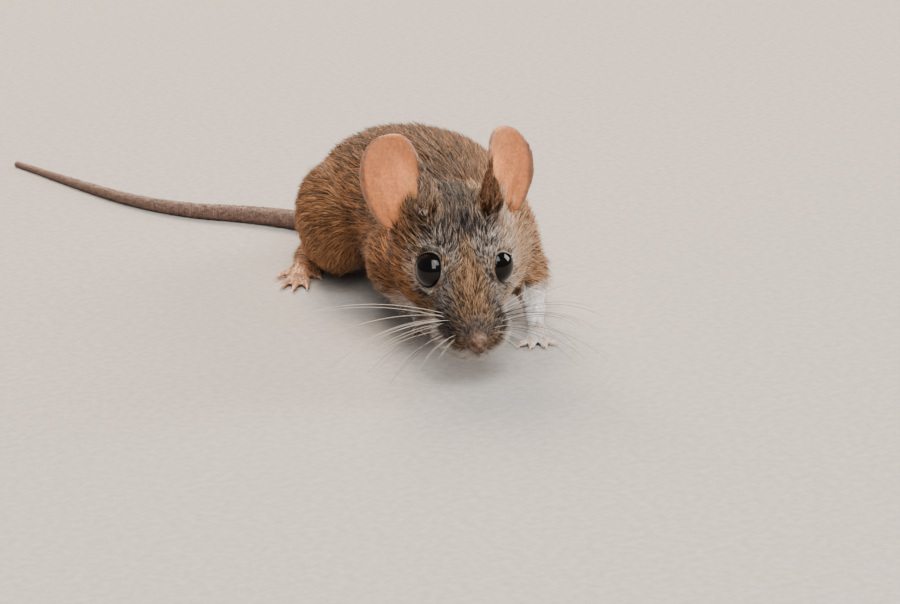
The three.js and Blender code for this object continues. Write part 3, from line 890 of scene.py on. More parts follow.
def eye_and_pad_zones(own, uneven, side):
    """The markings round one eye and on the whisker pad below it."""
    from_eye = own - np.array((EYE_SIDE * side, EYE_BACK, EYE_UP))
    beside, height = from_eye[:, 0] * side, from_eye[:, 2]
    ring = ramp(np.linalg.norm(from_eye, axis=1), EYE_RADIUS + 2.4, EYE_RADIUS + 0.5)
    inner = ramp(-beside + 0.6 * height, -0.8, 1.6)
    outer = ramp(beside - 0.5 * height, 0.4, 2.2)
    left = side > 0
    by_eye = [  # where it lies beside, behind and above the eye, its reach and colours
        ((1.3, -1.2, -3.2), (1.2, 1.5, 0.8), "4a342a", "17110f", 0.75),
        ((2.7, 1.4, 1.9), (0.9, 1.1, 0.9), "4a342a", "17110f", 0.6),
        ((-1.6, -2.2, -1.0), (0.8, 0.9, 1.1), "6a5548", "1d1714", 0.6),
    ]
    dark_pad = ("857a73", "120e0d", 0.62) if left else ("5f544e", "120e0d", 0.82)
    on_pad = [  # where it lies in the head's frame, its reach and colours
        ((3.5, -6.6, -2.0), (1.8, 2.6, 1.7), "9c938d", "2a2422", 0.55),
        ((3.8, -9.4, -3.4), (1.7, 2.3, 1.8), *dark_pad),
        ((3.0, -4.2, -0.6), (1.1, 1.5, 1.3), "b5aca5", "3a322e", 0.42),
        ((1.7, -11.4, -2.9), (0.8, 1.0, 0.7), "6d625c", "1a1716", 0.7),
    ]
    zones = [
        (ring * inner * (0.6 + uneven), "bdb0a6", "4d433d", 0.36),
        (ring * outer * (0.95 if left else 0.5), "d6c9bf", "5d4a3e", 0.22),
    ]
    mirror = np.array((side, 1, 1))
    zones += [(near(from_eye, mirror * place, reach), *colours) for place, reach, *colours in by_eye]
    return zones + [(near(own, mirror * place, reach), *colours) for place, reach, *colours in on_pad]


def muzzle_zones(own):
    """The markings along the bridge of the nose, round the mouth and below the chin."""
    x, y, z = own.T
    edge = fringe(own)
    bridge = bell(x, 0, 1.9) * ramp(y, -0.5, -3.5) * ramp(y, -11.0, -8.0)
    behind_nose = bell(x, 0, 1.5) * ramp(y, -8.6, -10.6) * ramp(z, -5.5, -4.0)
    return [
        (bridge, "b38a66", "33241b", 0.42),
        (behind_nose, "8f7a70", "2e2522", 0.5),
        (edge, "d9d1ca", "857a73", 0.2),
        (0.4 * edge * ramp(-x, 1.0, 3.0), "a3978d", "655a53", 0.3),  # painted shade: the pale rim is darker on the right, which lies in shade
        (ramp(z, -7.4, -9.0) * ramp(np.abs(x), 7.0, 5.0), "cbc3bb", "877e77", 0.18),  # chin and throat
    ]


def head_marks(points, marks, part):
    """Lays the face's markings over the body's, as far as the part says a point is on the head."""
    own = in_head(points)
    uneven = 0.5 * patchy(points)
    zones = face_zones(own, uneven)
    for side in SIDES.values():
        zones += eye_and_pad_zones(own, uneven, side)
    for mask, *colours in zones + muzzle_zones(own):
        marks.lay(mask * part, *colours)


def trunk_marks(points, normals, weights, marks):
    """Lays the trunk's markings, read from how far round the spine and along it a point lies."""
    body = in_body(points)
    from_spine = body[:, 0] - np.interp(body[:, 1], SPINE_Y, SPINE_X)
    rise = np.degrees(np.arctan2(body[:, 2] - BODY_MIDDLE_HEIGHT, np.abs(from_spine) + 0.5))
    uneven = 6 * patchy(points)
    marks.lay(ramp(rise + uneven, 28, 62), "895d3a", "271a13", 0.61)  # darker along the back
    marks.lay(ramp(rise + uneven, 25, -5) * ramp(rise, -35, -12), "996b46", "44301f", 0.34)  # bright flank
    belly = ramp(rise + 0.8 * uneven, -34, -46) * ramp(body[:, 2], 7.5, 4.5)
    facing_down = -normals[:, 2] + 0.02 * uneven - 0.25 * ramp(body[:, 1], 34, 26)
    belly = np.maximum(belly, ramp(facing_down, 0.4, 0.7)) * ramp(body[:, 1], 64, 56)
    marks.lay(belly * ramp(share_of(weights, "hind_leg"), 0.5, 0.1), "cfc8c1", "8c847e", 0.15)
    left_shoulder = ramp(from_spine + 0.5 * uneven, 1.0, 9.0) * ramp(body[:, 1] + uneven, 36.0, 10.0)
    marks.lay(left_shoulder, "c59670", "5f4635", 0.3)
    # painted shade: the nape behind the head is darkened
    shaded_nape = near(body, (-3.0, 15.0, 24.0), (8.0, 9.0, 6.0))
    marks.lay(shaded_nape, "6f4c34", "1d1412", 0.68)
    right_haunch = near(body, (-10.0, 52.0, 7.0), (6.0, 11.0, 7.0))
    marks.lay(right_haunch, "d09a6e", "7a583f", 0.22)


def limb_marks(points, weights, marks):
    """Lays the markings of the legs, feet, tail and nose."""
    fore, hind = share_of(weights, "foreleg"), share_of(weights, "hind_leg")
    marks.lay(fore * ramp(points[:, 2], 9.5, 7.5), "faf6f3", "ddd5cf", 0.08)
    marks.lay(hind * ramp(points[:, 2], 5.0, 2.0), "b48159", "6b4630", 0.3)
    marks.lay(ramp(share_of(weights, "forefoot", "hind_foot"), 0.3, 0.7), "f6f0ea", "d8c8bc", 0.08)
    marks.lay(ramp(share_of(weights, "hind_foot"), 0.3, 0.7), "d9b090", "a97c5e", 0.2)
    marks.lay(ramp(share_of(weights, "tail"), 0.3, 0.7), "88695a", "41322b", 0.5)
    marks.lay(ramp(share_of(weights, "nose"), 0.5, 0.8), "86695a", "43342d", 0.4)


def ear_marks(points, weights, marks):
    """Lays the markings of the down on the ears and of the furred folds up their inner edges."""
    ears = ramp(share_of(weights, "ear"), 0.4, 0.8)
    folds = ramp(share_of(weights, "fold"), 0.35, 0.7)
    for name, side in SIDES.items():
        across, up, back = ear_spot(points, name)
        here = ears * on_side(points, side)
        marks.lay(here * (1 - back), "e6ab7c", "9c6f4e", 0.2)
        marks.lay(here * back, "a37456", "4a3026", 0.4)
        marks.lay(here * ramp(np.abs(across), 0.86, 0.97), "8f7d72", "332823", 0.5)  # rim
        upper = ramp(up + 0.06 * streaky(points), 0.22, 0.5)
        # the right fold's greyish tan hair is painted paler, a painted highlight of the light from behind
        light, dark = ("7f5434", "20140d") if side > 0 else ("a58a74", "43342a")
        marks.lay(folds * (0.25 + 0.7 * upper) * on_side(points, side), light, dark, 0.5)


def markings(points, normals, weights):
    """The coat's colours at each point, from its place and the way that it faces."""
    marks = Marks(len(points), "8e6240", "2d1f17", 0.46)
    trunk_marks(points, normals, weights, marks)
    head_marks(points, marks, ramp(share_of(weights, "head", "nose", "eye"), 0.35, 0.8))
    facing_down = ramp(-normals[:, 2] + 0.12 * patchy(points), 0.5, 0.8)
    marks.lay(facing_down * share_of(weights, "head", "neck"), "d3cac2", "8c837c", 0.15)  # throat
    limb_marks(points, weights, marks)
    ear_marks(points, weights, marks)
    return marks


def toned(colours, mask, tone):
    """Colours moved towards a tone, as far as a mask says."""
    return colours + mask[:, None] * (tone - colours)


def ear_skin_tone(points, name):
    """The bare skin of an ear: a painted glow of light through its middle, painted shade towards its outer
    edge, browner at its tip and rim, dull on its back.
    """
    across, up, back = ear_spot(points, name)
    # a painted glow, where light shines through the ear's middle
    painted_glow = np.exp(-((across + 0.35) / 0.5) ** 2 - ((up - 0.55) / 0.25) ** 2)
    tone = toned(np.tile(shade("ca7d49"), (len(points), 1)), painted_glow, shade("f7ae72"))
    # painted shade: darker towards the outer edge
    tone = tone * (1 - 0.16 * ramp(across, 0.1, 0.9))[:, None]
    tone = toned(tone, 0.7 * ramp(up, 0.6, 0.98), shade("b27246"))
    tone = toned(tone, 0.8 * ramp(np.abs(across), 0.86, 0.97), shade("60493e"))
    tone = toned(tone, back, shade("a06f54"))
    return tone * (1 + 0.06 * patchy(points) + 0.05 * streaky(points))[:, None]


def skin_colours(points, normals, weights, sharp):
    """The skin's own colour: the coat's, darkened as painted shade under the coat, and bare skin where there
    is no coat.
    """
    marks = markings(points, normals, sharp)
    colours = marks.light * (1 - marks.share[:, None]) + marks.dark * marks.share[:, None]
    # painted shade under the coat, less of it on the forelegs and forefeet
    colours *= (0.5 + 0.4 * share_of(weights, "foreleg", "forefoot"))[:, None]
    for region, colour, strength in BARE_SKIN:
        colours = toned(colours, strength * ramp(share_of(sharp, region), 0.3, 0.7), shade(colour))
    ears = ramp(share_of(sharp, "ear"), 0.35, 0.7)
    for name, side in SIDES.items():
        colours = toned(colours, ears * on_side(points, side), ear_skin_tone(points, name))
    for side in SIDES.values():
        past, far = eye_angle(points, side)
        lid = ramp(past, 3, 0.5) * ramp(far, EYE_RADIUS + 1.5, EYE_RADIUS + 0.8)
        nostril = near(in_head(points), (0.95 * side, -13.2, -4.2), (0.5, 0.9, 0.4))
        colours = toned(colours, lid, shade("191412"))
        # painted shade in the openings of the nostrils
        colours = toned(colours, 0.9 * np.clip(1.5 * nostril, 0, 1), shade("1c1210"))
    return colours


# ---- The lie of the coat -------------------------------------------------------------------------
broad_swirl = Waves(7.0)
fine_swirl = Waves(1.5)


def lie_on_head(own):
    """The way that the hair lies on the head: back from the nose, away from the eyes and up to the ears."""
    way = unit(own - np.array(NOSE_TIP) - np.array((0, 0.6, 0))) + np.array((0, 0.25, 0))
    for side in SIDES.values():
        from_eye = own - np.array((EYE_SIDE * side, EYE_BACK, EYE_UP))
        far = np.linalg.norm(from_eye, axis=1, keepdims=True)
        way += 2.2 * bell(far, EYE_RADIUS, 1.5) * from_eye / far
        root = near(own, (6.2 * side, EAR_BACK, 6.0), (3.0, 3.4, 3.4))
        way += root[:, None] * np.array((-0.1 * side, -0.15, 1.1))
    aside = np.sign(own[:, 0])
    return way + 1.1 * fringe(own)[:, None] * np.stack([aside, 0 * aside - 0.1, 0 * aside - 0.9], -1)


def lie_on_feet(points):
    """The way that the hair lies on the feet: forward along each of them."""
    ways = np.zeros((len(points), 3))
    for name, (*_, turn) in FEET.items():
        low_corner, high_corner = (np.array(corner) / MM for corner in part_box(name))
        within = ((points > low_corner - 0.6) & (points < high_corner + 0.6)).all(1)
        ways[within] = (math.sin(math.radians(turn)), -math.cos(math.radians(turn)), -0.15)
    return ways


def lie_on_tail(points, weights):
    """The way that the hair lies on the tail: along it towards its tip."""
    ways = np.zeros((len(points), 3))
    for i in np.flatnonzero(share_of(weights, "tail") > 0.3):
        ways[i] = tail_ways[::4][np.argmin(((tail_places[::4] - points[i]) ** 2).sum(1))]
    return ways


def lie(points, normals, weights):
    """The way that the hair lies at each point, along the skin."""
    count = len(points)
    own, body = in_head(points), in_body(points)
    outward = body[:, 0] - np.interp(body[:, 1], SPINE_Y, SPINE_X)
    low = ramp(body[:, 2], 20, 8)
    down_rump = 0.9 * ramp(body[:, 1], 60, 72)
    head = way_from_head(lie_on_head(own))
    trunk = np.stack([0.012 * outward, np.ones(count), -0.42 * low - down_rump], -1)
    thigh = np.stack([np.zeros(count), np.full(count, 0.9), -0.25 - 0.6 * low], -1)
    feet = lie_on_feet(points)
    ear = np.tile(way_from_head(np.array((0, -0.1, 1.0))), (count, 1))
    ear[np.abs(own[:, 0]) < 5.2] += way_from_head(np.array((0, -0.25, 0)))
    ways = {"head": head, "nose": head, "eye": head, "neck": trunk, "trunk": trunk, "ear": ear, "fold": ear,
            "foreleg": np.tile((0.0, 0.35, -1.0), (count, 1)), "hind_leg": thigh,
            "forefoot": feet, "hind_foot": feet, "tail": lie_on_tail(points, weights)}
    mixed = sum(weights[:, i:i + 1] * unit(ways[name]) for i, name in enumerate(REGIONS))
    return unit(mixed - normals * (mixed * normals).sum(1, keepdims=True))


def turned_in_plane(ways, normals, degrees):
    turn = np.radians(degrees)[:, None]
    return ways * np.cos(turn) + np.cross(normals, ways) * np.sin(turn)


# ---- Coat ----------------------------------------------------------------------------------------
def by_folds(own):
    """How near each place in the head frame is to the foot of a furred fold, where the coat is thickest."""
    return np.maximum(*(near(own, (3.9 * side, 3.0, 7.8), (1.6, 1.7, 1.6)) for side in SIDES.values()))


class Roots:
    """Random places on the skin where tufts stand, with all that a tuft reads from the skin."""

    def __init__(self, skin, weights, sharp):
        mesh = skin.data
        mesh.calc_loop_triangles()
        corners, loops = (pulled(mesh.loop_triangles, name, 3) for name in ("vertices", "loops"))
        points, normals = points_of(mesh), normals_of(mesh)
        a, b, c = points[corners].transpose(1, 0, 2)
        area = np.linalg.norm(np.cross(b - a, c - a), axis=1) / 2
        middle = (a + b + c) / 3
        density = on_head(middle, sharp[corners].mean(1), DENSITY, (-12, -8, -2, 5, 12), (70, 58, 46, 30, 22))
        density *= 1 + 1.6 * by_folds(in_head(middle))
        density *= THIN_COAT * self.allowed(middle)
        wanted = area * density
        total = int(wanted.sum())
        at = np.searchsorted(np.cumsum(wanted), chance.uniform(0, wanted.sum(), total))
        at = np.minimum(at, len(corners) - 1)
        first, second = np.sqrt(chance.uniform(size=total)), chance.uniform(size=total)
        share = np.stack([1 - first, first * (1 - second), first * second], -1)
        unwrapped = pulled(mesh.uv_layers["Unwrap"].uv, "vector", 2, np.float32)

        def mixed(values, index):
            return (values[index[at]] * share[..., None]).sum(1)

        self.point = mixed(points, corners)
        self.normal = unit(mixed(normals, corners))
        self.weights = mixed(weights, corners)
        self.sharp = mixed(sharp, corners)
        self.uv = mixed(unwrapped, loops)

    @staticmethod
    def allowed(points):
        """Where hair may grow: not on the open eyes, lids' edges, nostrils, toes' ends or soles."""
        may = np.ones(len(points))
        for side in SIDES.values():
            past, far = eye_angle(points, side)
            nostril = near(in_head(points), (0.95 * side, -13.3, -4.2), (0.4, 0.9, 0.35))
            may *= 1 - ramp(far, EYE_RADIUS + 1.5, EYE_RADIUS + 0.7) * ramp(past, 2.5, 1)
            may *= 1 - np.clip(1.6 * nostril, 0, 1)
        for foot in FEET:
            for tip in toe_tips(foot)[0]:
                may *= 1 - ramp(np.linalg.norm(points - tip, axis=1), 1.3, 0.7)
        may *= 1 - ramp(points[:, 2], 0.35, 0.1)
        return may

    def part(self, chosen):
        """The same for some of the roots."""
        made = object.__new__(Roots)
        for name, values in vars(self).items():
            setattr(made, name, values[chosen])
        return made


def tuft_mesh(name, base, middle, tip, side, width, colours, uv):
    """Many tufts as one mesh: each a bent three-sided lock that tapers to a point."""
    count = len(base)
    points = np.empty((count, 7, 3))
    corner_turns = [math.pi / 2 + 2 * math.pi * corner / 3 for corner in range(3)]
    for ring, (place, wide) in enumerate(((base, 1.0), (middle, 0.85))):
        ahead = unit((middle - base) if ring == 0 else (tip - base))
        over = np.cross(side, ahead)
        for corner, turn in enumerate(corner_turns):
            offset = side * (math.cos(turn) * 0.5) + over * (math.sin(turn) * 0.3)
            points[:, ring * 3 + corner] = place + offset * (width * wide)[:, None]
    points[:, 6] = tip
    quads = [(0, 1, 4, 3), (1, 2, 5, 4), (2, 0, 3, 5)]
    tris = [(3, 4, 6), (4, 5, 6), (5, 3, 6), (2, 1, 0)]
    order = np.array([i for face in quads + tris for i in face])
    starts = np.cumsum([0] + [len(face) for face in quads + tris])[:-1]
    which = np.arange(count)[:, None]
    thing = mesh_object(name, points.reshape(-1, 3), which * 7 + order, which * len(order) + starts)
    paint(thing.data, "Markings", colours.reshape(-1, 3))
    patch = [(math.cos(turn) * radius, math.sin(turn) * radius)
             for radius in PATCH_RADII for turn in corner_turns]
    spread = uv[:, None] + np.array(patch + [(0.0, 0.0)])[order]
    layer = thing.data.uv_layers.new(name="OFBake")
    layer.uv.foreach_set("vector", np.clip(spread, 0, 1).astype(np.float32).ravel())
    return thing


def on_skin(tree, points):
    """The nearest places on the skin and the ways out of it there."""
    places, ways = np.empty_like(points), np.empty_like(points)
    for i, point in enumerate(points * MM):
        place, way, *_ = tree.find_nearest(point)
        places[i], ways[i] = place, way
    return places / MM, ways


def tuft_sizes(roots, own):
    """How long and wide each tuft is, and how far its tip stands off the skin."""
    count = len(own)
    point = roots.point
    length = on_head(point, roots.sharp, LENGTH, (-12.5, -9, -5, 0, 6, 12), (0.6, 1.1, 1.7, 2.5, 3.6, 5.0))
    width = on_head(point, roots.sharp, WIDTH, (-12.5, -8, -2, 4, 12), (0.05, 0.07, 0.092, 0.125, 0.17))
    stand = on_head(point, roots.weights, STAND, (-12, -8.5, -3, 4, 12), (0.2, 0.5, 0.85, 1.3, 1.6))
    by_eye = np.min([np.linalg.norm(point - eye_place(side), axis=1) for side in SIDES.values()], axis=0)
    length = length * (0.45 + 0.55 * ramp(by_eye, EYE_RADIUS + 0.3, EYE_RADIUS + 2.5))
    edge = fringe(own) * share_of(roots.sharp, "head")
    by_left_ear = near(own, (7.0, 6.6, 4.6), (2.2, 2.2, 2.0))
    length = length + 0.9 * edge + 1.6 * by_left_ear + 0.9 * by_folds(own)
    length = length * chance.uniform(0.65, 1.2, count)
    width = width * chance.uniform(0.7, 1.25, count) / THIN_COAT ** 0.5
    crest = sum(strength * near(own, place, reach) for place, reach, strength in CREST)
    stand = stand + 0.8 * edge + 0.8 * by_left_ear + 1.3 * crest * chance.uniform(0.5, 1.3, count)
    stand = stand * (0.86 + 0.14 * streaky(point) + chance.uniform(-0.28, 0.26, count))
    return length, width, stand


def tuft_colours(roots):
    """Each tuft's colours at its seven points: dull at the root, and a light or a dark hair's at the tip."""
    count = len(roots.point)
    marks = markings(roots.point, roots.normal, roots.sharp)
    is_dark = chance.uniform(size=count) < marks.share + 0.10 * streaky(roots.point * 1.3)
    tone = np.where(is_dark[:, None], marks.dark, marks.light) * chance.uniform(0.75, 1.2, (count, 1))
    pale = np.maximum(ramp(marks.light.mean(1), 0.35, 0.7), ramp(share_of(roots.sharp, "ear"), 0.3, 0.7))
    root_tone = (0.45 + 0.4 * pale)[:, None] * (0.6 * marks.dark + 0.4 * tone)
    tipped_dark = chance.uniform(size=(count, 1)) < 0.22
    tip_tone = np.where(tipped_dark, 0.55 * tone + 0.3 * marks.dark, tone * 1.12)
    colours = np.stack([root_tone] * 3 + [0.25 * root_tone + 0.75 * tone] * 3 + [tip_tone], 1)
    return np.clip(colours, *PAINT_RANGE)


def clear_of_eyes(places):
    """Whether each place leaves the open eyes clear."""
    clear = np.ones(len(places), bool)
    for side in SIDES.values():
        past, far = eye_angle(places, side)
        clear &= (past > 1.0) | (far > EYE_RADIUS + 1.6)
    return clear


def grow(name, slot, roots, tree, material):
    """Stands one tuft on each root, bent along the skin so that it follows the form below it."""
    count = len(roots.point)
    jitter = 11 * fine_swirl(roots.point) + 8 * broad_swirl(roots.point) + chance.normal(0, 7, count)
    way = turned_in_plane(lie(roots.point, roots.normal, roots.weights), roots.normal, jitter)
    length, width, stand = tuft_sizes(roots, in_head(roots.point))
    middle, out_middle = on_skin(tree, roots.point + way * (length * 0.5)[:, None])
    onward = unit(way - out_middle * (way * out_middle).sum(1, keepdims=True))
    tip, out_tip = on_skin(tree, middle + onward * (length * 0.5)[:, None])
    base = roots.point - roots.normal * (0.12 * stand)[:, None]
    middle = middle + out_middle * (0.62 * stand)[:, None]
    tip = tip + out_tip * stand[:, None]
    for place in (middle, tip):
        place[:, 2] = np.maximum(place[:, 2], 0.08)
    clear = clear_of_eyes(middle) & clear_of_eyes(tip)
    colours = tuft_colours(roots)
    side = unit(np.cross(roots.normal, way) + 0.5 * chance.normal(size=(count, 3)))
    made_of = (base, middle, tip, side, width, colours, roots.uv)
    thing = tuft_mesh(name, *(values[clear] for values in made_of))
    thing.data.materials.append(material)
    return finish_piece(thing, slot)


def make_coat(skin, weights, sharp):
    """Grows the coat in pieces, each small enough to be kept whole."""
    roots = Roots(skin, weights, sharp)
    tree = BVHTree.FromPolygons([v.co.copy() for v in skin.data.vertices],
                                [tuple(p.vertices) for p in skin.data.polygons])
    own, body = in_head(roots.point), in_body(roots.point)
    sparse = share_of(roots.sharp, "ear", "forefoot", "hind_foot", "tail", "nose") > 0.5
    head = (share_of(roots.sharp, "head", "eye", "fold") > 0.5) & ~sparse
    leg = (share_of(roots.sharp, "foreleg", "hind_leg") > 0.5) & ~sparse
    rest = ~(sparse | head | leg)
    feet = sparse & (share_of(roots.sharp, "forefoot", "hind_foot") > 0.5)
    left = body[:, 0] > np.interp(body[:, 1], SPINE_Y, SPINE_X)
    head_left = own[:, 0] > 0
    face = own[:, 1] < -2.0
    shoulders = rest & (body[:, 1] < 30)
    back = rest & (body[:, 1] >= 30)
    high = body[:, 2] > BODY_MIDDLE_HEIGHT
    zones = (
        ("fur_face_left", head & face & head_left, "fur_brown"),
        ("fur_face_right", head & face & ~head_left, "fur_brown"),
        ("fur_head_left", head & ~face & head_left, "fur_brown"),
        ("fur_head_right", head & ~face & ~head_left, "fur_brown"),
        ("fur_shoulders_upper", shoulders & high, "fur_brown"),
        ("fur_shoulders_lower", shoulders & ~high, "fur_brown"),
        ("fur_back_left", back & high & left, "fur_back"),
        ("fur_back_right", back & high & ~left, "fur_back"),
        ("fur_belly_left", back & ~high & left, "fur_back"),
        ("fur_belly_right", back & ~high & ~left, "fur_back"),
        ("fur_legs_left", leg & left, "fur_brown"),
        ("fur_legs_right", leg & ~left, "fur_brown"),
        ("down_ears_tail", sparse & ~feet, "fur_pale"),
        ("fur_feet_left", feet & left, "foot_skin"),
        ("fur_feet_right", feet & ~left, "foot_skin"),
    )
    material = hair_material("hair", 0.62)
    for name, chosen, slot in zones:
        grow(name, slot, roots.part(chosen), tree, material)
    return tree


# ---- Eyes, lids, claws and whiskers --------------------------------------------------------------
def make_eyes():
    gloss = eye_material()
    for name, side in SIDES.items():
        ball = ball_at("eyeball_" + name, eye_place(side), EYE_RADIUS, 64, 48)
        shade_smooth(ball.data)
        ball.data.materials.append(gloss)
        finish_piece(ball, "eye_black", "eye_" + name)


def make_lids():
    """The bare dark rims of the lids, lying on each eyeball round its opening."""
    dark = plain_material("lid_skin", "080605", 0.55, 0.12)
    for name, side in SIDES.items():
        lid = added("lid_" + name, bpy.ops.mesh.primitive_torus_add, major_radius=1.0,
                    minor_radius=LID_RADIUS, major_segments=96, minor_segments=10)
        ring = points_of(lid.data) * MM
        away = np.hypot(ring[:, 0], ring[:, 1])
        way = eye_way(side)
        turn = np.array(Vector(way).to_track_quat("Z", "Y").to_matrix())
        round_about = np.stack([ring[:, 0] / away, ring[:, 1] / away, 0 * away], -1) @ turn.T
        angle = (np.radians(opening_at(round_about, side)) + (away - 1) / EYE_RADIUS)[:, None]
        height = EYE_RADIUS + LID_LIFT + ring[:, 2:]
        set_points(lid.data, eye_place(side) + height * (np.cos(angle) * way + np.sin(angle) * round_about))
        shade_smooth(lid.data)
        lid.data.materials.append(dark)
        finish_piece(lid, "fur_brown")


def claw_at(tip, way, long, thick):
    """One claw: a cone that starts inside its toe's end and curves down."""
    claw = added("claw", bpy.ops.mesh.primitive_cone_add, vertices=10, radius1=1.0, radius2=0.12, depth=1.0,
                 end_fill_type="NGON")
    own = points_of(claw.data) * MM
    along = own[:, 2:] + 0.5
    up = np.array((0, 0, 1.0))
    middle = tip + way * (0.2 + long * along) + up * 0.12 - up * 0.3 * along ** 2
    set_points(claw.data, middle + thick * (own[:, :1] * np.cross(way, up) + own[:, 1:2] * up))
    return claw


def make_claws():
    """A small curved claw at the end of each toe, joined for each foot."""
    horn = plain_material("claw_horn", "c9a58d", 0.35)
    for foot in FEET:
        sizes = CLAWS[foot.rsplit("_", 1)[0]]
        parts = [claw_at(tip, way, *sizes) for tip, way in zip(*toe_tips(foot))]
        claws = parts[0]
        join(parts)
        claws.name = "claws_" + foot
        points = points_of(claws.data)
        points[:, 2] = np.maximum(points[:, 2], 0.03)
        set_points(claws.data, points)
        claws.data.materials.append(horn)
        finish_piece(claws, "foot_skin")


def hair_tubes(name, lines, radii, colours, sides=5):
    """Long single hairs as one mesh: each a thin tapered tube along its line of points."""
    all_points, all_faces, all_colours, start = [], [], [], 0
    for line, radius, (root_colour, tip_colour) in zip(lines, radii, colours):
        share = np.linspace(0, 1, len(line))
        thin = radius * (1 - share) ** 0.7 + WHISKER_TIP_RADIUS
        points, faces = tube(line, unit(np.gradient(line, axis=0)), thin, sides, (0.1, 0.2, 1.0))
        all_points.append(points)
        all_faces.append(faces + start)
        along = root_colour + share[:, None] * (tip_colour - root_colour)
        all_colours.append(np.repeat(along, sides, axis=0))
        start += len(points)
    thing = closed_tubes(name, np.concatenate(all_points), np.concatenate(all_faces), sides)
    paint(thing.data, "Markings", np.concatenate(all_colours))
    shade_smooth(thing.data)
    return thing


def whisker(tree, side, row, place):
    """One whisker's line, and its radius and colours; rows count down the pad, places count back along it."""
    root = from_head((side * (3.6 + 0.3 * place), -11.4 + 1.0 * place + chance.normal(0, 0.15),
                      -2.0 - 0.66 * row + 0.1 * place + chance.normal(0, 0.12)))
    root, out = on_skin(tree, root[None])
    swing = math.radians(72 + 8 * place + chance.normal(0, 5))
    rise = math.radians(WHISKER_RISE[side] - 8.5 * row - 1.0 * place + chance.normal(0, 5))
    way = (side * math.sin(swing) * math.cos(rise), -math.cos(swing) * math.cos(rise), math.sin(rise))
    length = (8.0 + 4.2 * place - 1.2 * row) * chance.uniform(0.75, 1.12)
    fall = 0.28 + 0.06 * row + chance.uniform(-0.06, 0.12)
    bend = way_from_head((-0.10 * side, 0.12, 0)) - np.array((0, 0, fall))
    t = np.linspace(0, 1, 22)[:, None]
    line = root - 0.2 * out + way_from_head(way) * length * t + bend * length * t ** 2
    line[:, 2:] += max(0.0, 1.0 - line[:, 2].min()) * t ** 1.6
    pale, dark = shade("dccfc2"), shade("2b2422")
    white = chance.uniform() < (0.7 if side < 0 and row > 0 else 0.45)
    return line, 0.015 + 0.0025 * place, (pale * 0.75, pale) if white else (dark, dark * 2.0)


def make_whiskers(tree):
    """The whiskers of both pads, in rows that fan from up and forward to down and back."""
    hairs = [whisker(tree, side, row, place) for side in SIDES.values()
             for row in range(WHISKER_ROWS) for place in range(WHISKERS_IN_ROW)]
    whiskers = hair_tubes("whiskers", *zip(*hairs))
    whiskers.data.materials.append(hair_material("whisker", 0.4))
    finish_piece(whiskers, "fur_pale")


# ---- Camera, floor and light ---------------------------------------------------------------------
CAMERA_PLACE = (-172.16, -387.06, 147.58)  # in the body's own numbers
CAMERA_AZIMUTH, CAMERA_ELEVATION, CAMERA_ROLL = 22.8, 18.0, 3.0
CAMERA_LENS = 120.0
LIGHTS = (  # each pane's name, place and size in metres, power in watts and colour
    ("front_left_pane", (-0.27, -0.68, 0.80), (0.42, 1.05), 16.0, (1.0, 0.98, 0.95)),
    ("front_right_pane", (0.06, -0.66, 0.84), (0.34, 0.55), 7.0, (1.0, 0.98, 0.95)),
    ("side_right", (0.95, -0.20, 0.50), (0.5, 0.5), 15.0, (1.0, 0.95, 0.88)),
    ("warm_back", (0.15, 0.95, 0.90), (0.6, 0.6), 42.0, (1.0, 0.78, 0.57)),
)


def make_camera():
    data = bpy.data.cameras.new("camera")
    data.lens = CAMERA_LENS
    data.sensor_width = 36.0
    data.clip_start = 0.01
    camera = bpy.data.objects.new("camera", data)
    camera.matrix_world = (
        Matrix.Translation((np.array(CAMERA_PLACE) + body_shift) * MM)
        @ Matrix.Rotation(math.radians(-CAMERA_AZIMUTH), 4, "Z")
        @ Matrix.Rotation(math.radians(90 - CAMERA_ELEVATION), 4, "X")
        @ Matrix.Rotation(math.radians(-CAMERA_ROLL), 4, "Z"))
    bpy.context.scene.collection.objects.link(camera)
    bpy.context.scene.camera = camera


def area_light(name, place, target, size, power, colour):
    data = bpy.data.lights.new(name, "AREA")
    data.shape = "RECTANGLE"
    data.size, data.size_y = size
    data.energy = power
    data.color = colour
    light = bpy.data.objects.new(name, data)
    light.location = place
    light.rotation_euler = (Vector(target) - Vector(place)).to_track_quat("-Z", "Y").to_euler()
    bpy.context.scene.collection.objects.link(light)


def make_stage():
    floor = added("floor", bpy.ops.mesh.primitive_plane_add, size=12.0, location=(0, 0, 0))
    floor.data.materials.append(plain_material("floor_paint", "9f9995", 0.85))
    world = bpy.data.worlds.new("studio")
    world.use_nodes = True
    sky = world.node_tree.nodes["Background"]
    sky.inputs["Color"].default_value = (1.0, 0.97, 0.94, 1)
    sky.inputs["Strength"].default_value = 0.29
    bpy.context.scene.world = world
    for name, place, size, power, colour in LIGHTS:
        area_light(name, place, Vector(HEAD_PLACE * MM), size, power, colour)


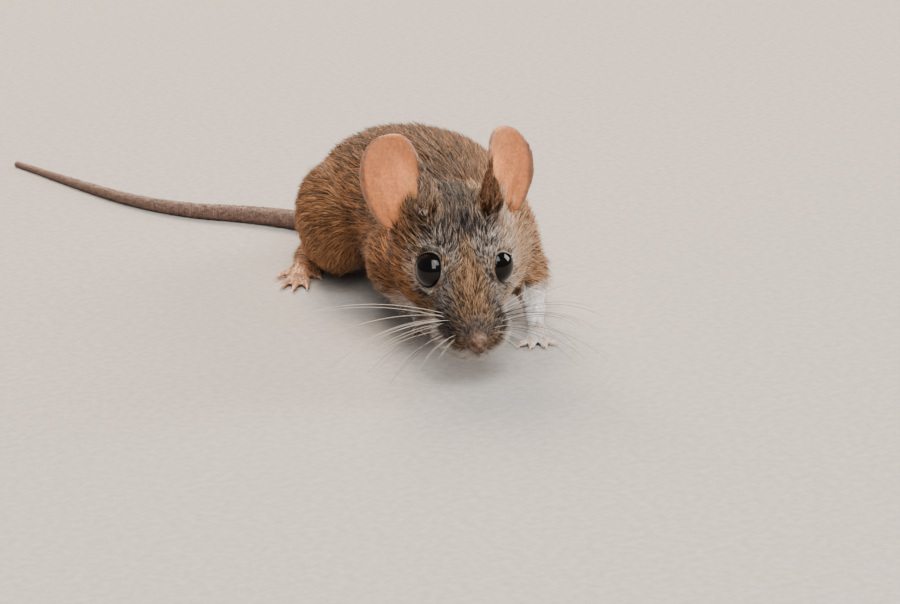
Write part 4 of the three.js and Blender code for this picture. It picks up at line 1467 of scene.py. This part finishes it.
# ---- Putting it together -------------------------------------------------------------------------
def unwrap(thing):
    """Lays the skin's own shape out flat, for the coat's roots."""
    make_active(thing)
    bpy.ops.object.mode_set(mode="EDIT")
    bpy.ops.mesh.select_all(action="SELECT")
    bpy.ops.uv.smart_project(angle_limit=math.radians(66), island_margin=0.002)
    bpy.ops.object.mode_set(mode="OBJECT")
    thing.data.uv_layers[0].name = "Unwrap"


def dress_skin(skin, weights, sharp):
    """Paints the skin, gives each region its finish and hides the solids that the skin stands for."""
    mesh = skin.data
    points, normals = points_of(mesh), normals_of(mesh)
    paint(mesh, "Markings", np.clip(skin_colours(points, normals, weights, sharp), *PAINT_RANGE))
    run = np.zeros(len(points))
    for i in np.flatnonzero(share_of(sharp, "tail") > 0.05):
        run[i] = tail_runs[np.argmin(((tail_places - points[i]) ** 2).sum(1))]
    write_numbers(mesh, "TailRun", run)
    finishes = (
        (skin_material("under_fur", 0.8, 3.0, 0.05),
         ("head", "neck", "trunk", "fold", "foreleg", "hind_leg", "eye")),
        (skin_material("ear_skin", 0.55, 2.2, 0.03, spread=0.45), ("ear",)),
        (skin_material("foot_skin", 0.5, 2.5, 0.05, spread=0.2), ("forefoot", "hind_foot")),
        (skin_material("nose_skin", 0.42, 4.5, 0.06, spread=0.15), ("nose",)),
        (tail_material(), ("tail",)),
    )
    slot_of = np.zeros(len(REGIONS), np.int32)
    for index, (material, regions) in enumerate(finishes):
        mesh.materials.append(material)
        for region in regions:
            slot_of[REGION_AT[region]] = index
    first_corner = pulled(mesh.loops, "vertex_index")[pulled(mesh.polygons, "loop_start")]
    mesh.polygons.foreach_set("material_index", slot_of[sharp[first_corner].argmax(1)])
    finish_piece(skin, "fur_brown", *FLESH)


skin, skin_weights, skin_sharp = make_skin()
fur_edges(points_of(skin.data), skin_weights, skin_sharp)
unwrap(skin)
dress_skin(skin, skin_weights, skin_sharp)
skin_tree = make_coat(skin, skin_weights, skin_sharp)
make_eyes()
make_lids()
make_claws()
make_whiskers(skin_tree)
make_camera()
make_stage()
